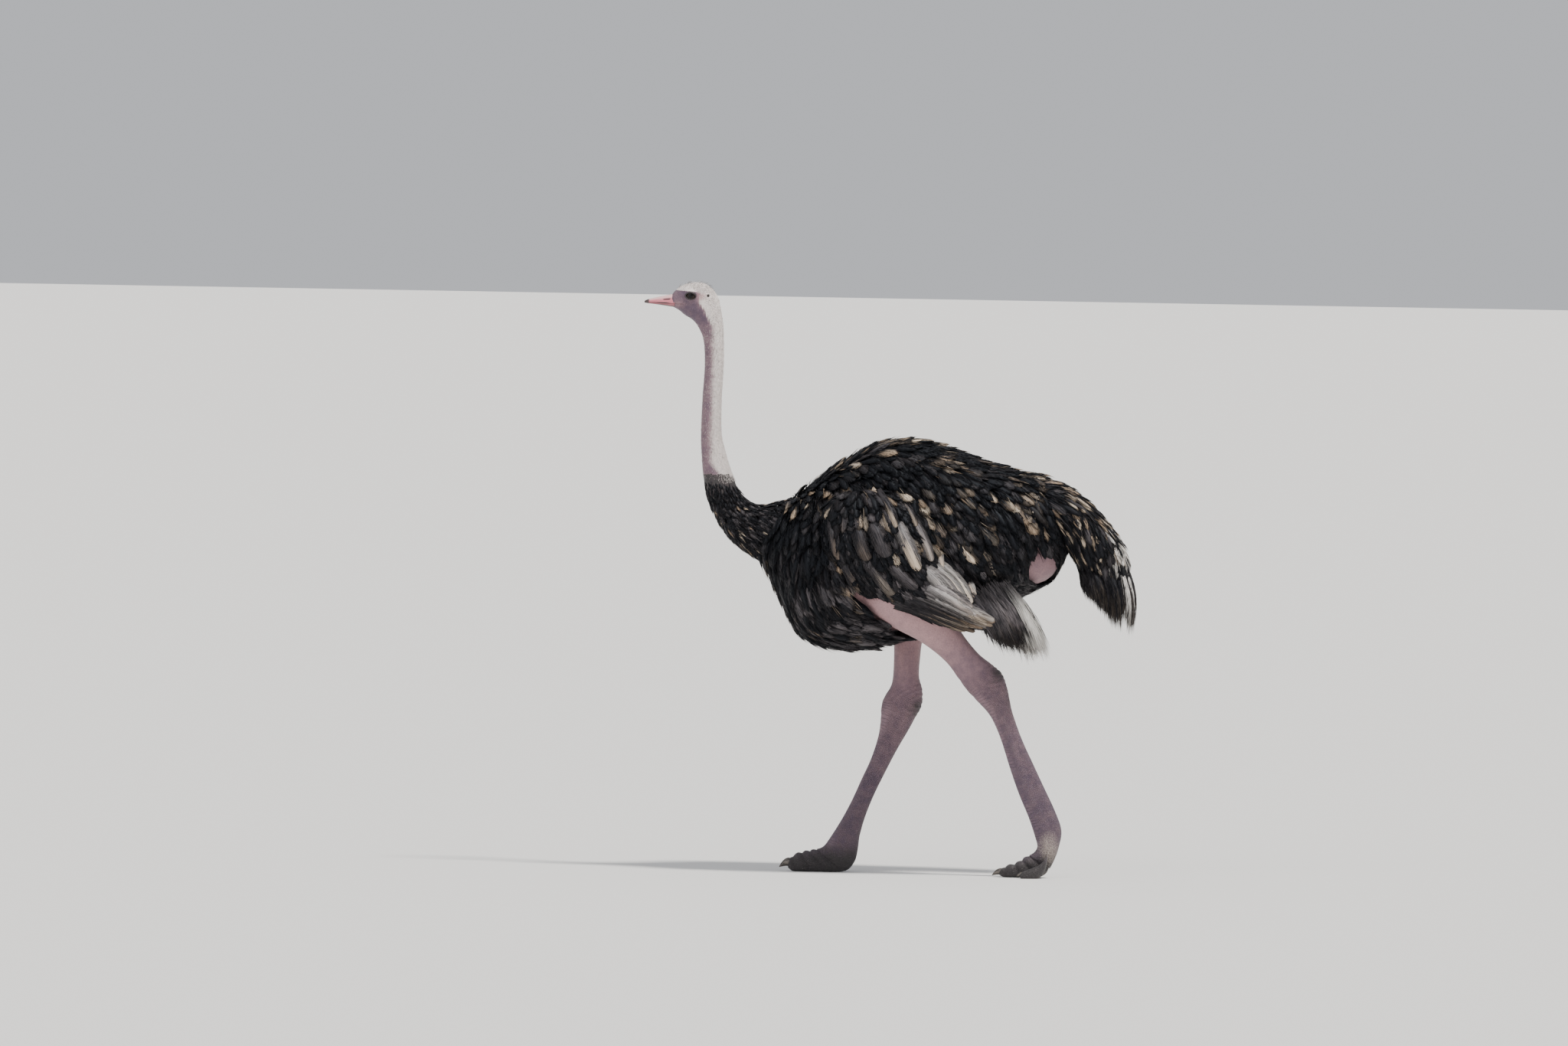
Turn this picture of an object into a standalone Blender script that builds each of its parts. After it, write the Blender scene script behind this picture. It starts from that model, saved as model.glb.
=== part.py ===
"""A life-size ostrich cock in mid-stride, as a still museum model.

The bird faces -Y, stands on Z = 0 and is parted at X = 0 from its mirror half, apart from the legs,
which take a step: the left leg (+X) trails and the right leg leads. Every fleshy form is a loft between
two rails, one along its back and one along its belly, drawn in the bird's middle plane. A station of
such a loft is one rib between the rails, with its own half width.
"""

import math

import bpy
import numpy as np
from mathutils import Vector

# ---------------------------------------------------------------- driving dimensions, metres
CENTRE_SHIFT = 0.02175  # moves the stations so that Y = 0 is midway from bill tip to tail tip
GAP = 0.0004  # clear space left where two pieces end flat against each other
EYE_RADIUS = 0.022
EYE_CENTRE = (0.0235, -0.673, 1.823)
EAR_CENTRE = (0.036, -0.617, 1.824)
EAR_RADIUS = 0.007
SOLE = 0.0  # the level of every sole

# Ribs of the head and neck: back rail (y, z), throat rail (y, z), half width.
HEAD_RIBS = (
    ((-0.7245, 1.834), (-0.7245, 1.7785), 0.0265),
    ((-0.706, 1.852), (-0.706, 1.771), 0.0330),
    ((-0.684, 1.861), (-0.690, 1.761), 0.0385),
    ((-0.656, 1.866), (-0.674, 1.752), 0.0400),
    ((-0.627, 1.862), (-0.661, 1.742), 0.0385),
    ((-0.600, 1.841), (-0.651, 1.730), 0.0355),
    ((-0.583, 1.812), (-0.643, 1.716), 0.0325),
)
NECK_TOP_RIB = ((-0.576, 1.781), (-0.638, 1.703), 0.0305)
NECK_RIBS = (
    NECK_TOP_RIB,
    ((-0.568, 1.735), (-0.632, 1.684), 0.0290),
    ((-0.564, 1.670), (-0.628, 1.650), 0.0285),
    ((-0.564, 1.590), (-0.627, 1.590), 0.0285),
    ((-0.568, 1.500), (-0.632, 1.500), 0.0290),
    ((-0.567, 1.396), (-0.635, 1.394), 0.0305),
    ((-0.553, 1.330), (-0.632, 1.322), 0.0335),
    ((-0.530, 1.262), (-0.624, 1.246), 0.0380),
)
LOWER_NECK_RIBS = (
    NECK_RIBS[-1],
    ((-0.502, 1.205), (-0.608, 1.172), 0.0470),
    ((-0.468, 1.172), (-0.572, 1.098), 0.0580),
    ((-0.430, 1.167), (-0.520, 1.037), 0.0720),
    ((-0.385, 1.178), (-0.450, 0.990), 0.0880),
    ((-0.320, 1.200), (-0.370, 0.960), 0.1000),
)
BILL_BASE_Y, BILL_TIP_Y = -0.725, -0.819
MOUTH_Z = 1.8005

# Ribs of the trunk, out to the tips of its feathers: back rail, belly rail, half width.
TRUNK_RIBS = (
    ((-0.400, 1.160), (-0.398, 0.960), 0.100),
    ((-0.365, 1.192), (-0.376, 0.862), 0.160),
    ((-0.300, 1.238), (-0.318, 0.756), 0.212),
    ((-0.200, 1.306), (-0.225, 0.715), 0.248),
    ((-0.085, 1.370), (-0.105, 0.716), 0.266),
    ((0.030, 1.388), (0.020, 0.742), 0.272),
    ((0.150, 1.364), (0.150, 0.790), 0.268),
    ((0.270, 1.322), (0.280, 0.842), 0.250),
    ((0.380, 1.292), (0.395, 0.886), 0.215),
    ((0.465, 1.278), (0.480, 0.932), 0.165),
    ((0.525, 1.230), (0.522, 0.995), 0.110),
)
# Ribs of the left wing: upper rail, lower rail, middle X, half thickness.
WING_RIBS = (
    ((-0.235, 1.185), (-0.235, 1.045), 0.150, 0.085),
    ((-0.190, 1.225), (-0.210, 0.960), 0.165, 0.118),
    ((-0.090, 1.240), (-0.110, 0.880), 0.170, 0.136),
    ((0.020, 1.200), (-0.030, 0.842), 0.170, 0.142),
    ((0.095, 1.110), (0.060, 0.802), 0.170, 0.140),
    ((0.155, 1.005), (0.150, 0.780), 0.175, 0.122),
    ((0.235, 0.925), (0.225, 0.775), 0.190, 0.080),
    ((0.290, 0.885), (0.270, 0.780), 0.200, 0.050),
)
TAIL_RIBS = (
    ((0.400, 1.270), (0.400, 1.120), 0.0, 0.120),
    ((0.500, 1.262), (0.480, 1.085), 0.0, 0.145),
    ((0.585, 1.212), (0.530, 1.040), 0.0, 0.155),
    ((0.660, 1.136), (0.562, 0.990), 0.0, 0.150),
    ((0.715, 1.060), (0.590, 0.945), 0.0, 0.135),
    ((0.738, 0.990), (0.615, 0.910), 0.0, 0.110),
    ((0.735, 0.930), (0.645, 0.885), 0.0, 0.075),
)

# Ribs of the legs: rear rail (y, z), front rail (y, z), middle X of the left leg, half width.
LEFT_THIGH_RIBS = (
    ((0.160, 1.000), (-0.130, 0.970), 0.150, 0.098),
    ((0.165, 0.900), (-0.124, 0.872), 0.154, 0.100),
    ((0.175, 0.830), (-0.038, 0.800), 0.148, 0.086),
    ((0.205, 0.772), (0.070, 0.744), 0.136, 0.064),
    ((0.256, 0.710), (0.150, 0.684), 0.122, 0.047),
    ((0.302, 0.674), (0.196, 0.626), 0.112, 0.040),
)
LEFT_HOCK_RIBS = (
    LEFT_THIGH_RIBS[-1],
    ((0.333, 0.646), (0.226, 0.588), 0.108, 0.042),
    ((0.349, 0.606), (0.256, 0.556), 0.106, 0.043),
    ((0.358, 0.562), (0.287, 0.524), 0.104, 0.038),
    ((0.368, 0.520), (0.309, 0.490), 0.102, 0.032),
)
LEFT_SHANK_RIBS = (
    LEFT_HOCK_RIBS[-1],
    ((0.398, 0.440), (0.334, 0.432), 0.099, 0.027),
    ((0.436, 0.360), (0.364, 0.342), 0.095, 0.025),
    ((0.470, 0.290), (0.392, 0.266), 0.091, 0.025),
    ((0.508, 0.212), (0.425, 0.190), 0.087, 0.029),
    ((0.530, 0.150), (0.446, 0.130), 0.085, 0.034),
    ((0.522, 0.095), (0.452, 0.098), 0.085, 0.034),
)
RIGHT_THIGH_RIBS = (
    ((0.190, 1.010), (-0.100, 1.000), 0.150, 0.098),
    ((0.172, 0.920), (-0.084, 0.900), 0.152, 0.098),
    ((0.125, 0.830), (-0.034, 0.815), 0.140, 0.080),
    ((0.086, 0.750), (-0.012, 0.745), 0.124, 0.058),
    ((0.076, 0.680), (-0.009, 0.672), 0.113, 0.045),
    ((0.074, 0.625), (-0.014, 0.602), 0.108, 0.041),
)
RIGHT_HOCK_RIBS = (
    RIGHT_THIGH_RIBS[-1],
    ((0.085, 0.582), (-0.038, 0.556), 0.107, 0.042),
    ((0.083, 0.532), (-0.046, 0.520), 0.105, 0.042),
    ((0.062, 0.492), (-0.048, 0.478), 0.103, 0.037),
    ((0.040, 0.452), (-0.055, 0.430), 0.101, 0.031),
)
RIGHT_SHANK_RIBS = (
    RIGHT_HOCK_RIBS[-1],
    ((0.004, 0.388), (-0.076, 0.362), 0.098, 0.027),
    ((-0.034, 0.312), (-0.106, 0.294), 0.095, 0.025),
    ((-0.066, 0.244), (-0.134, 0.230), 0.091, 0.025),
    ((-0.092, 0.176), (-0.166, 0.168), 0.087, 0.029),
    ((-0.106, 0.122), (-0.200, 0.112), 0.085, 0.034),
    ((-0.112, 0.072), (-0.196, 0.066), 0.085, 0.035),
)

# Toes of the left foot, then of the right: middle line (x, y, z) with half width and half height.
LEFT_BIG_TOE = (
    ((0.085, 0.490, 0.092), 0.026, 0.026),
    ((0.083, 0.468, 0.054), 0.028, 0.029),
    ((0.080, 0.434, 0.028), 0.030, 0.029),
    ((0.077, 0.397, 0.022), 0.028, 0.026),
    ((0.074, 0.364, 0.018), 0.026, 0.022),
    ((0.073, 0.344, 0.014), 0.020, 0.016),
)
LEFT_SMALL_TOE = (
    ((0.096, 0.490, 0.092), 0.013, 0.014),
    ((0.120, 0.480, 0.046), 0.018, 0.020),
    ((0.136, 0.458, 0.022), 0.019, 0.020),
    ((0.148, 0.430, 0.015), 0.017, 0.016),
    ((0.156, 0.408, 0.011), 0.013, 0.011),
)
RIGHT_BIG_TOE = (
    ((-0.085, -0.155, 0.052), 0.027, 0.032),
    ((-0.084, -0.200, 0.042), 0.031, 0.041),
    ((-0.082, -0.245, 0.036), 0.030, 0.037),
    ((-0.080, -0.285, 0.032), 0.029, 0.033),
    ((-0.078, -0.312, 0.028), 0.027, 0.030),
    ((-0.077, -0.330, 0.024), 0.021, 0.022),
)
RIGHT_SMALL_TOE = (
    ((-0.096, -0.150, 0.066), 0.013, 0.014),
    ((-0.122, -0.178, 0.030), 0.018, 0.022),
    ((-0.138, -0.208, 0.021), 0.019, 0.021),
    ((-0.150, -0.236, 0.015), 0.017, 0.016),
    ((-0.157, -0.256, 0.011), 0.013, 0.011),
)
BIG_CLAW_LENGTH, SMALL_CLAW_LENGTH = 0.022, 0.011

COLOURS = {
    "skin": ((0.50, 0.34, 0.33), 0.60),
    "down": ((0.62, 0.55, 0.52), 0.85),
    "bill": ((0.80, 0.42, 0.42), 0.40),
    "eye": ((0.015, 0.010, 0.008), 0.08),
    "black_plumage": ((0.020, 0.018, 0.020), 0.70),
    "pale_plumage": ((0.45, 0.42, 0.38), 0.80),
    "leg": ((0.30, 0.22, 0.24), 0.65),
    "claw": ((0.06, 0.05, 0.05), 0.35),
}


# ---------------------------------------------------------------- scene, materials, meshes
def clear_scene():
    for obj in list(bpy.data.objects):
        bpy.data.objects.remove(obj, do_unlink=True)


def collection(name):
    made = bpy.data.collections.new(name)
    bpy.context.scene.collection.children.link(made)
    return made


def material(name):
    if name in bpy.data.materials:
        return bpy.data.materials[name]
    made = bpy.data.materials.new(name)
    made.use_nodes = True
    shader = made.node_tree.nodes["Principled BSDF"]
    colour, roughness = COLOURS[name]
    shader.inputs["Base Color"].default_value = (*colour, 1.0)
    shader.inputs["Roughness"].default_value = roughness
    return made


def mesh_object(name, points, faces, finish, home):
    mesh = bpy.data.meshes.new(name)
    mesh.from_pydata([tuple(p) for p in points], [], faces)
    mesh.shade_smooth()
    mesh.set_sharp_from_angle(angle=math.radians(50))
    mesh.materials.append(material(finish))
    made = bpy.data.objects.new(name, mesh)
    home.objects.link(made)
    return made


# ---------------------------------------------------------------- lofts
def through(rows, per_span):
    """Rows of numbers on a smooth curve through the given rows, per_span steps from each to the next."""
    rows = np.array(rows, float)
    padded = np.vstack([2 * rows[0] - rows[1], rows, 2 * rows[-1] - rows[-2]])
    made = []
    for i in range(1, len(padded) - 2):
        a, b, c, d = padded[i - 1 : i + 3]
        for k in range(per_span):
            t = k / per_span
            made.append(
                b
                + 0.5 * t * (c - a)
                + t * t * (a - 2.5 * b + 2 * c - 0.5 * d)
                + t**3 * (1.5 * (b - c) + 0.5 * (d - a))
            )
    made.append(rows[-1])
    return np.array(made)


def ribs_to_rows(ribs, mirrored=False):
    """Each rib as one row: top x, y, z, bottom x, y, z, half width. A rib with no middle X lies at X = 0."""
    side = -1 if mirrored else 1
    rows = []
    for rib in ribs:
        top, bottom = rib[:2]
        x = side * rib[2] if len(rib) == 4 else 0.0
        rows.append((x, *top, x, *bottom, rib[-1]))
    return rows


def rings_between(rows, sides, squareness, fullness):
    """Closed rings: superellipses across each rib. Fullness above 0 moves the widest place down the rib."""
    turns = np.arange(sides) * 2 * math.pi / sides
    across, up = np.cos(turns), np.sin(turns)
    power = 2 / squareness
    across = np.sign(across) * np.abs(across) ** power
    up = np.sign(up) * np.abs(up) ** power
    rings = []
    for row in rows:
        top, bottom, half_width = row[0:3], row[3:6], row[6]
        middle, rise = (top + bottom) / 2, (top - bottom) / 2
        ring = middle + np.outer(up, rise)
        ring[:, 0] += half_width * across * (1 - fullness * up)
        rings.append(ring)
    return rings


def dome(ring, outward, steps):
    """Rings that close an end roundly: each is smaller, and further out along the way that outward points."""
    middle = ring.mean(axis=0)
    made = []
    for k in range(1, steps):
        turn = k / steps * math.pi / 2
        made.append(middle + (ring - middle) * math.cos(turn) + outward * math.sin(turn))
    return made, middle + outward


def skinned(rings, first_point=None, last_point=None):
    """Points and faces of a closed skin over rings. An end is a point, or is flat where none is given."""
    sides = len(rings[0])
    points = [p for ring in rings for p in ring]
    faces = []
    for i in range(len(rings) - 1):
        for j in range(sides):
            k = (j + 1) % sides
            near, far = (i * sides + j, i * sides + k), ((i + 1) * sides + k, (i + 1) * sides + j)
            faces.append((*near, far[0]))
            faces.append((near[0], *far))
    last = (len(rings) - 1) * sides
    for end, start, turned in ((first_point, 0, True), (last_point, last, False)):
        rim = [start + j for j in range(sides)]
        if turned:
            rim.reverse()
        if end is None:
            faces.append(tuple(rim))
        else:
            points.append(end)
            faces += [(rim[j], rim[(j + 1) % sides], len(points) - 1) for j in range(sides)]
    return np.array(points), faces


def outward_facing(points, faces):
    """The faces, turned round where the solid that they bound would be inside out."""
    volume = 0.0
    for face in faces:
        for j in range(1, len(face) - 1):
            a, b, c = points[face[0]], points[face[j]], points[face[j + 1]]
            volume += float(np.dot(a, np.cross(b, c)))
    return faces if volume > 0 else [tuple(reversed(f)) for f in faces]


def loft(name, rows, finish, home, sides=16, per_span=2, squareness=2.2, fullness=0.0, domes=(0, 0)):
    """A solid over ribs. domes gives how far each end bulges past its rib; 0 leaves that end flat."""
    rows = through(rows, per_span)
    rows[:, [1, 4]] += CENTRE_SHIFT
    rings = rings_between(rows, sides, squareness, fullness)
    ends = [None, None]
    for which, (here, inner) in enumerate(((0, 1), (-1, -2))):
        if domes[which]:
            outward = rings[here].mean(axis=0) - rings[inner].mean(axis=0)
            outward *= domes[which] / np.linalg.norm(outward)
            more, ends[which] = dome(rings[here], outward, 3)
            rings = list(reversed(more)) + rings if which == 0 else rings + more
    points, faces = skinned(rings, *ends)
    return mesh_object(name, points, outward_facing(points, faces), finish, home)


def plume(name, line, width, thickness, finish, home, side=Vector((1, 0, 0)), sides=5, per_span=2):
    """A leaf-shaped feather mass along a line: widest at a third of its length and pointed at its tip."""
    rows = through(line, per_span)
    rows[:, 1] += CENTRE_SHIFT
    rings = []
    for i, middle in enumerate(rows[:-1]):
        along = Vector(rows[i + 1] - rows[max(i - 1, 0)]).normalized()
        share = i / (len(rows) - 1)
        swell = max(math.sin(math.pi * (0.2 + 0.8 * share**0.9)), 0.12)
        broad = np.array(side - along * side.dot(along)).astype(float)
        broad /= np.linalg.norm(broad)
        thin = np.array(along.cross(Vector(broad)))
        turns = np.arange(sides) * 2 * math.pi / sides
        rings.append(
            middle
            + np.outer(np.cos(turns), broad) * width / 2 * swell
            + np.outer(np.sin(turns), thin) * thickness / 2 * swell
        )
    points, faces = skinned(rings, None, rows[-1])
    return mesh_object(name, points, outward_facing(points, faces), finish, home)


# ---------------------------------------------------------------- joining and parting
def grown_copy(obj, by):
    """A helper of the evaluated shape of obj, with every point moved out along its normal."""
    bpy.context.view_layer.update()
    graph = bpy.context.evaluated_depsgraph_get()
    mesh = bpy.data.meshes.new_from_object(obj.evaluated_get(graph))
    mesh.transform(obj.matrix_world)
    made = bpy.data.objects.new(obj.name + "_grown", mesh)
    helpers.objects.link(made)
    made.hide_render = True
    made.display_type = "WIRE"
    if by:
        swell = made.modifiers.new("grow", "DISPLACE")
        swell.strength = by
        swell.mid_level = 0.0
    return made


def combine(obj, other, operation):
    made = obj.modifiers.new(operation.lower(), "BOOLEAN")
    made.operation = operation
    made.solver = "EXACT"
    made.object = other


def clear_of(obj, *others):
    """Cuts obj back so that it keeps the gap from each of the others, which it meets."""
    for other in others:
        combine(obj, grown_copy(other, 2 * GAP), "DIFFERENCE")


def absorb(obj, others):
    """Joins the others into obj, which keeps its name."""
    for other in others:
        combine(obj, grown_copy(other, 0), "UNION")
        bpy.data.objects.remove(other, do_unlink=True)


def half_space(name, z_top):
    """A helper block that fills everything below a level."""
    bpy.ops.mesh.primitive_cube_add(size=2, location=(0, 0, z_top - 1))
    made = bpy.context.object
    made.name = name
    made.hide_render = True
    made.display_type = "WIRE"
    for home in list(made.users_collection):
        home.objects.unlink(made)
    helpers.objects.link(made)
    return made


# ---------------------------------------------------------------- the bird
def trimmed(ribs, at_start=0.0, at_end=0.0):
    """Ribs moved a little along the loft at each end, so that flat ends of neighbours keep the gap."""
    rows = [np.array(r, float) for r in ribs]
    for here, inner, by in ((0, 1, at_start), (-1, -2, at_end)):
        step = rows[inner] - rows[here]
        nearest = min(np.linalg.norm(step[0:3]), np.linalg.norm(step[3:6]))
        rows[here] = rows[here] + step * by / nearest
    return rows


def build_neck():
    rows = ribs_to_rows(NECK_RIBS)
    upper, middle = rows[:4], rows[3:]
    made = {
        "neck_upper": loft("neck_upper", trimmed(upper, GAP), "down", bird, sides=14),
        "neck_middle": loft("neck_middle", trimmed(middle, GAP), "down", bird, sides=14),
        "neck_lower": loft(
            "neck_lower", trimmed(ribs_to_rows(LOWER_NECK_RIBS), GAP), "black_plumage", bird, sides=14
        ),
    }
    return made


def build_bill():
    """The flat, round-ended bill: an upper and a lower half that meet along the mouth."""
    length = BILL_BASE_Y - BILL_TIP_Y
    upper, lower = [], []
    for share, half_width, above, below in (
        (0.10, 0.0115, 0.0125, 0.0030),
        (0.30, 0.0165, 0.0185, 0.0060),
        (0.55, 0.0195, 0.0225, 0.0095),
        (0.80, 0.0225, 0.0255, 0.0130),
        (1.00, 0.0255, 0.0310, 0.0195),
    ):
        y = BILL_TIP_Y + share * length
        mouth = MOUTH_Z - 0.003 * share
        upper.append((0, y, mouth + above, 0, y, mouth + GAP / 2, half_width))
        lower.append((0, y, mouth - GAP / 2, 0, y, mouth - below, half_width * 0.94))
    loft("bill_upper", upper, "bill", bird, per_span=1, squareness=2.6, domes=(0.009, 0))
    loft("bill_lower", lower, "bill", bird, per_span=1, squareness=2.6, domes=(0.007, 0))


def build_head():
    rows = ribs_to_rows(HEAD_RIBS + (NECK_TOP_RIB,))
    head = loft("head", rows, "down", bird, sides=16, per_span=2, squareness=2.15)
    for side, word in ((1, "left"), (-1, "right")):
        x, y, z = EYE_CENTRE
        place = (side * x, y + CENTRE_SHIFT, z)
        bpy.ops.mesh.primitive_uv_sphere_add(segments=14, ring_count=8, radius=EYE_RADIUS, location=place)
        eye = bpy.context.object
        eye.name = "eye_" + word
        eye.data.name = eye.name
        eye.data.materials.append(material("eye"))
        eye.data.shade_smooth()
        eye.users_collection[0].objects.unlink(eye)
        bird.objects.link(eye)
        clear_of(head, eye)
        x, y, z = EAR_CENTRE
        place = (side * x, y + CENTRE_SHIFT, z)
        bpy.ops.mesh.primitive_uv_sphere_add(segments=8, ring_count=6, radius=EAR_RADIUS, location=place)
        ear = bpy.context.object
        combine(head, grown_copy(ear, 0), "DIFFERENCE")
        bpy.data.objects.remove(ear, do_unlink=True)
    return head


def build_trunk():
    return loft(
        "trunk",
        ribs_to_rows(TRUNK_RIBS),
        "black_plumage",
        bird,
        sides=20,
        per_span=2,
        squareness=2.15,
        fullness=0.10,
        domes=(0.022, 0.028),
    )


def build_wing(word, mirrored, trunk, lower_neck):
    """The folded wing on the flank, and the long pale plumes that trail from it past the thigh."""
    side = -1 if mirrored else 1
    wing = loft(
        "wing_" + word,
        ribs_to_rows(WING_RIBS, mirrored),
        "black_plumage",
        bird,
        sides=14,
        per_span=2,
        domes=(0.03, 0.02),
    )
    plumes = []
    for k, (root_z, tip_y, tip_z, reach) in enumerate(
        (
            (0.875, 0.372, 0.820, 0.225),
            (0.860, 0.405, 0.780, 0.235),
            (0.845, 0.434, 0.735, 0.228),
            (0.830, 0.445, 0.700, 0.212),
            (0.815, 0.405, 0.692, 0.200),
            (0.800, 0.362, 0.706, 0.192),
        )
    ):
        root_y = 0.215 + 0.008 * k
        middle = ((root_y + tip_y) / 2 + 0.012, (root_z + tip_z) / 2 + 0.022)
        line = (
            (side * 0.205, root_y, root_z),
            (side * (reach + 0.01), *middle),
            (side * reach, tip_y, tip_z),
        )
        plumes.append(
            plume(f"plume_{k}", line, 0.085, 0.045, "pale_plumage", bird, side=Vector((0, 0.35, 1)))
        )
    trailing = plumes.pop(0)
    trailing.name = "wing_plumes_" + word
    trailing.data.name = trailing.name
    absorb(trailing, plumes)
    clear_of(wing, trunk)
    clear_of(trailing, trunk, wing)
    return wing, trailing


def build_tail(trunk):
    """The bushy drooping tail: a core with plumes hanging from it to ragged tips."""
    tail = loft(
        "tail",
        ribs_to_rows(TAIL_RIBS),
        "black_plumage",
        bird,
        sides=14,
        per_span=2,
        squareness=2.3,
        domes=(0.02, 0.03),
    )
    plumes = []
    for k in range(7):
        share = (k - 3) / 3
        x = 0.125 * share
        centred = 1 - abs(share)
        tip = (x * 1.12, 0.655 + 0.085 * centred, 0.862 - 0.085 * centred)
        root = (x * 0.9, 0.600 + 0.045 * centred, 1.080)
        middle = (x * 1.08, 0.668 + 0.082 * centred, 0.965)
        plumes.append(plume(f"tail_plume_{k}", (root, middle, tip), 0.070, 0.060, "black_plumage", bird))
    absorb(tail, plumes)
    clear_of(tail, trunk)
    return tail


def build_toe(name, line, claw_name, claw_length):
    """A toe with a flat sole, and the blunt nail that ends it."""
    rows = [(x, y, z + h, x, y, z - h - 0.002, w) for (x, y, z), w, h in line]
    toe = loft(name, rows, "leg", bird, sides=10, per_span=2, squareness=2.5, domes=(0.012, 0.010))
    combine(toe, floor_block, "DIFFERENCE")
    (x, y, z), half_width, half_height = line[-1]
    start = Vector((x, y + CENTRE_SHIFT, z))
    before = Vector(line[-2][0]) + Vector((0, CENTRE_SHIFT, 0))
    ahead = (start - before).normalized()
    tip = start + ahead * (0.010 + claw_length)
    tip.z = max(0.004, z - 0.35 * claw_length)
    knuckle = start + Vector((0, 0, 0.08 * half_height))
    length = (tip - knuckle).length
    bpy.ops.mesh.primitive_cone_add(
        vertices=12, radius1=half_height * 0.72, radius2=half_height * 0.22, depth=length
    )
    claw = bpy.context.object
    claw.name = claw_name
    claw.data.name = claw_name
    claw.location = (knuckle + tip) / 2
    claw.rotation_mode = "QUATERNION"
    claw.rotation_quaternion = (tip - knuckle).to_track_quat("Z", "Y")
    claw.data.materials.append(material("claw"))
    claw.data.shade_smooth()
    claw.users_collection[0].objects.unlink(claw)
    bird.objects.link(claw)
    bpy.context.view_layer.update()
    combine(claw, floor_block, "DIFFERENCE")
    clear_of(toe, claw)
    return toe


def build_leg(word, mirrored, ribs, toes, trunk, wing, trailing):
    thigh_ribs, hock_ribs, shank_ribs = (ribs_to_rows(r, mirrored) for r in ribs)
    thigh = loft("thigh_" + word, thigh_ribs, "skin", bird, sides=14)
    clear_of(thigh, trunk, wing, trailing)
    loft("hock_" + word, trimmed(hock_ribs, GAP), "leg", bird, sides=14)
    shank = loft("shank_" + word, trimmed(shank_ribs, GAP), "leg", bird, sides=14, domes=(0, 0.022))
    big = build_toe("toe_big_" + word, toes[0], "claw_big_" + word, BIG_CLAW_LENGTH)
    small = build_toe("toe_small_" + word, toes[1], "claw_small_" + word, SMALL_CLAW_LENGTH)
    clear_of(big, shank)
    clear_of(small, shank, big)


clear_scene()
bird = collection("ostrich")
helpers = collection("helpers")
helpers.hide_render = True
floor_block = half_space("below_the_soles", SOLE)

trunk = build_trunk()
build_bill()
build_head()
neck = build_neck()
clear_of(neck["neck_lower"], trunk)
build_tail(trunk)
left_wing, left_plumes = build_wing("left", False, trunk, neck["neck_lower"])
right_wing, right_plumes = build_wing("right", True, trunk, neck["neck_lower"])
build_leg(
    "left",
    False,
    (LEFT_THIGH_RIBS, LEFT_HOCK_RIBS, LEFT_SHANK_RIBS),
    (LEFT_BIG_TOE, LEFT_SMALL_TOE),
    trunk,
    left_wing,
    left_plumes,
)
build_leg(
    "right",
    True,
    (RIGHT_THIGH_RIBS, RIGHT_HOCK_RIBS, RIGHT_SHANK_RIBS),
    (RIGHT_BIG_TOE, RIGHT_SMALL_TOE),
    trunk,
    right_wing,
    right_plumes,
)
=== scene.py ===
"""A life-size ostrich cock in mid-stride: bare skin, bill, eyes, claws, down and plumage.

Each form is a closed tube over ribs, as the solids are. The skin lies inside the solids by the depth of
the coat, and every feather is a thin closed vane that starts on it and ends near the solids' own outline.
"""

import math

import bpy
import numpy as np
from bpy.props import FloatProperty, FloatVectorProperty, PointerProperty
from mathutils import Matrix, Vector


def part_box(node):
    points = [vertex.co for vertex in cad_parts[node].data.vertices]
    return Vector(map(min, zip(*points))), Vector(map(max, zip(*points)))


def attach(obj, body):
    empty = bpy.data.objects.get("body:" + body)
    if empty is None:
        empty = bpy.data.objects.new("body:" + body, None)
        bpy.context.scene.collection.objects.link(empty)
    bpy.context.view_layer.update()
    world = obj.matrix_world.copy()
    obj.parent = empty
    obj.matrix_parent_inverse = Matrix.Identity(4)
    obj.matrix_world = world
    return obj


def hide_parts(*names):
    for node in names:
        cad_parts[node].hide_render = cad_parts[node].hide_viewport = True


bl_info = {
    "name": "Ostrich",
    "version": (1, 0, 0),
    "blender": (4, 5, 0),
    "location": "View3D > Sidebar > Ostrich",
    "description": "Skin, bill, eyes, claws, down and plumage of a walking ostrich",
    "category": "Add Mesh",
}

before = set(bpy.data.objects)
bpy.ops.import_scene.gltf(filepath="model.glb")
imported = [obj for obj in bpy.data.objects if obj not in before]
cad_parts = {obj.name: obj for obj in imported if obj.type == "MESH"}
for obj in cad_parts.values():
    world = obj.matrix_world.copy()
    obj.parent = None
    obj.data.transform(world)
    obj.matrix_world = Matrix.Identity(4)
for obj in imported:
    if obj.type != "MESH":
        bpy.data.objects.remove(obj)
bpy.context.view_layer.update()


EYE_LOW, EYE_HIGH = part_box("eye_left")
EYE = (EYE_LOW + EYE_HIGH) / 2
EYE_RADIUS = (EYE_HIGH.y - EYE_LOW.y) / 2
SHIFT = EYE.y + 0.673  # the ribs below are drawn from another Y = 0

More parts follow.
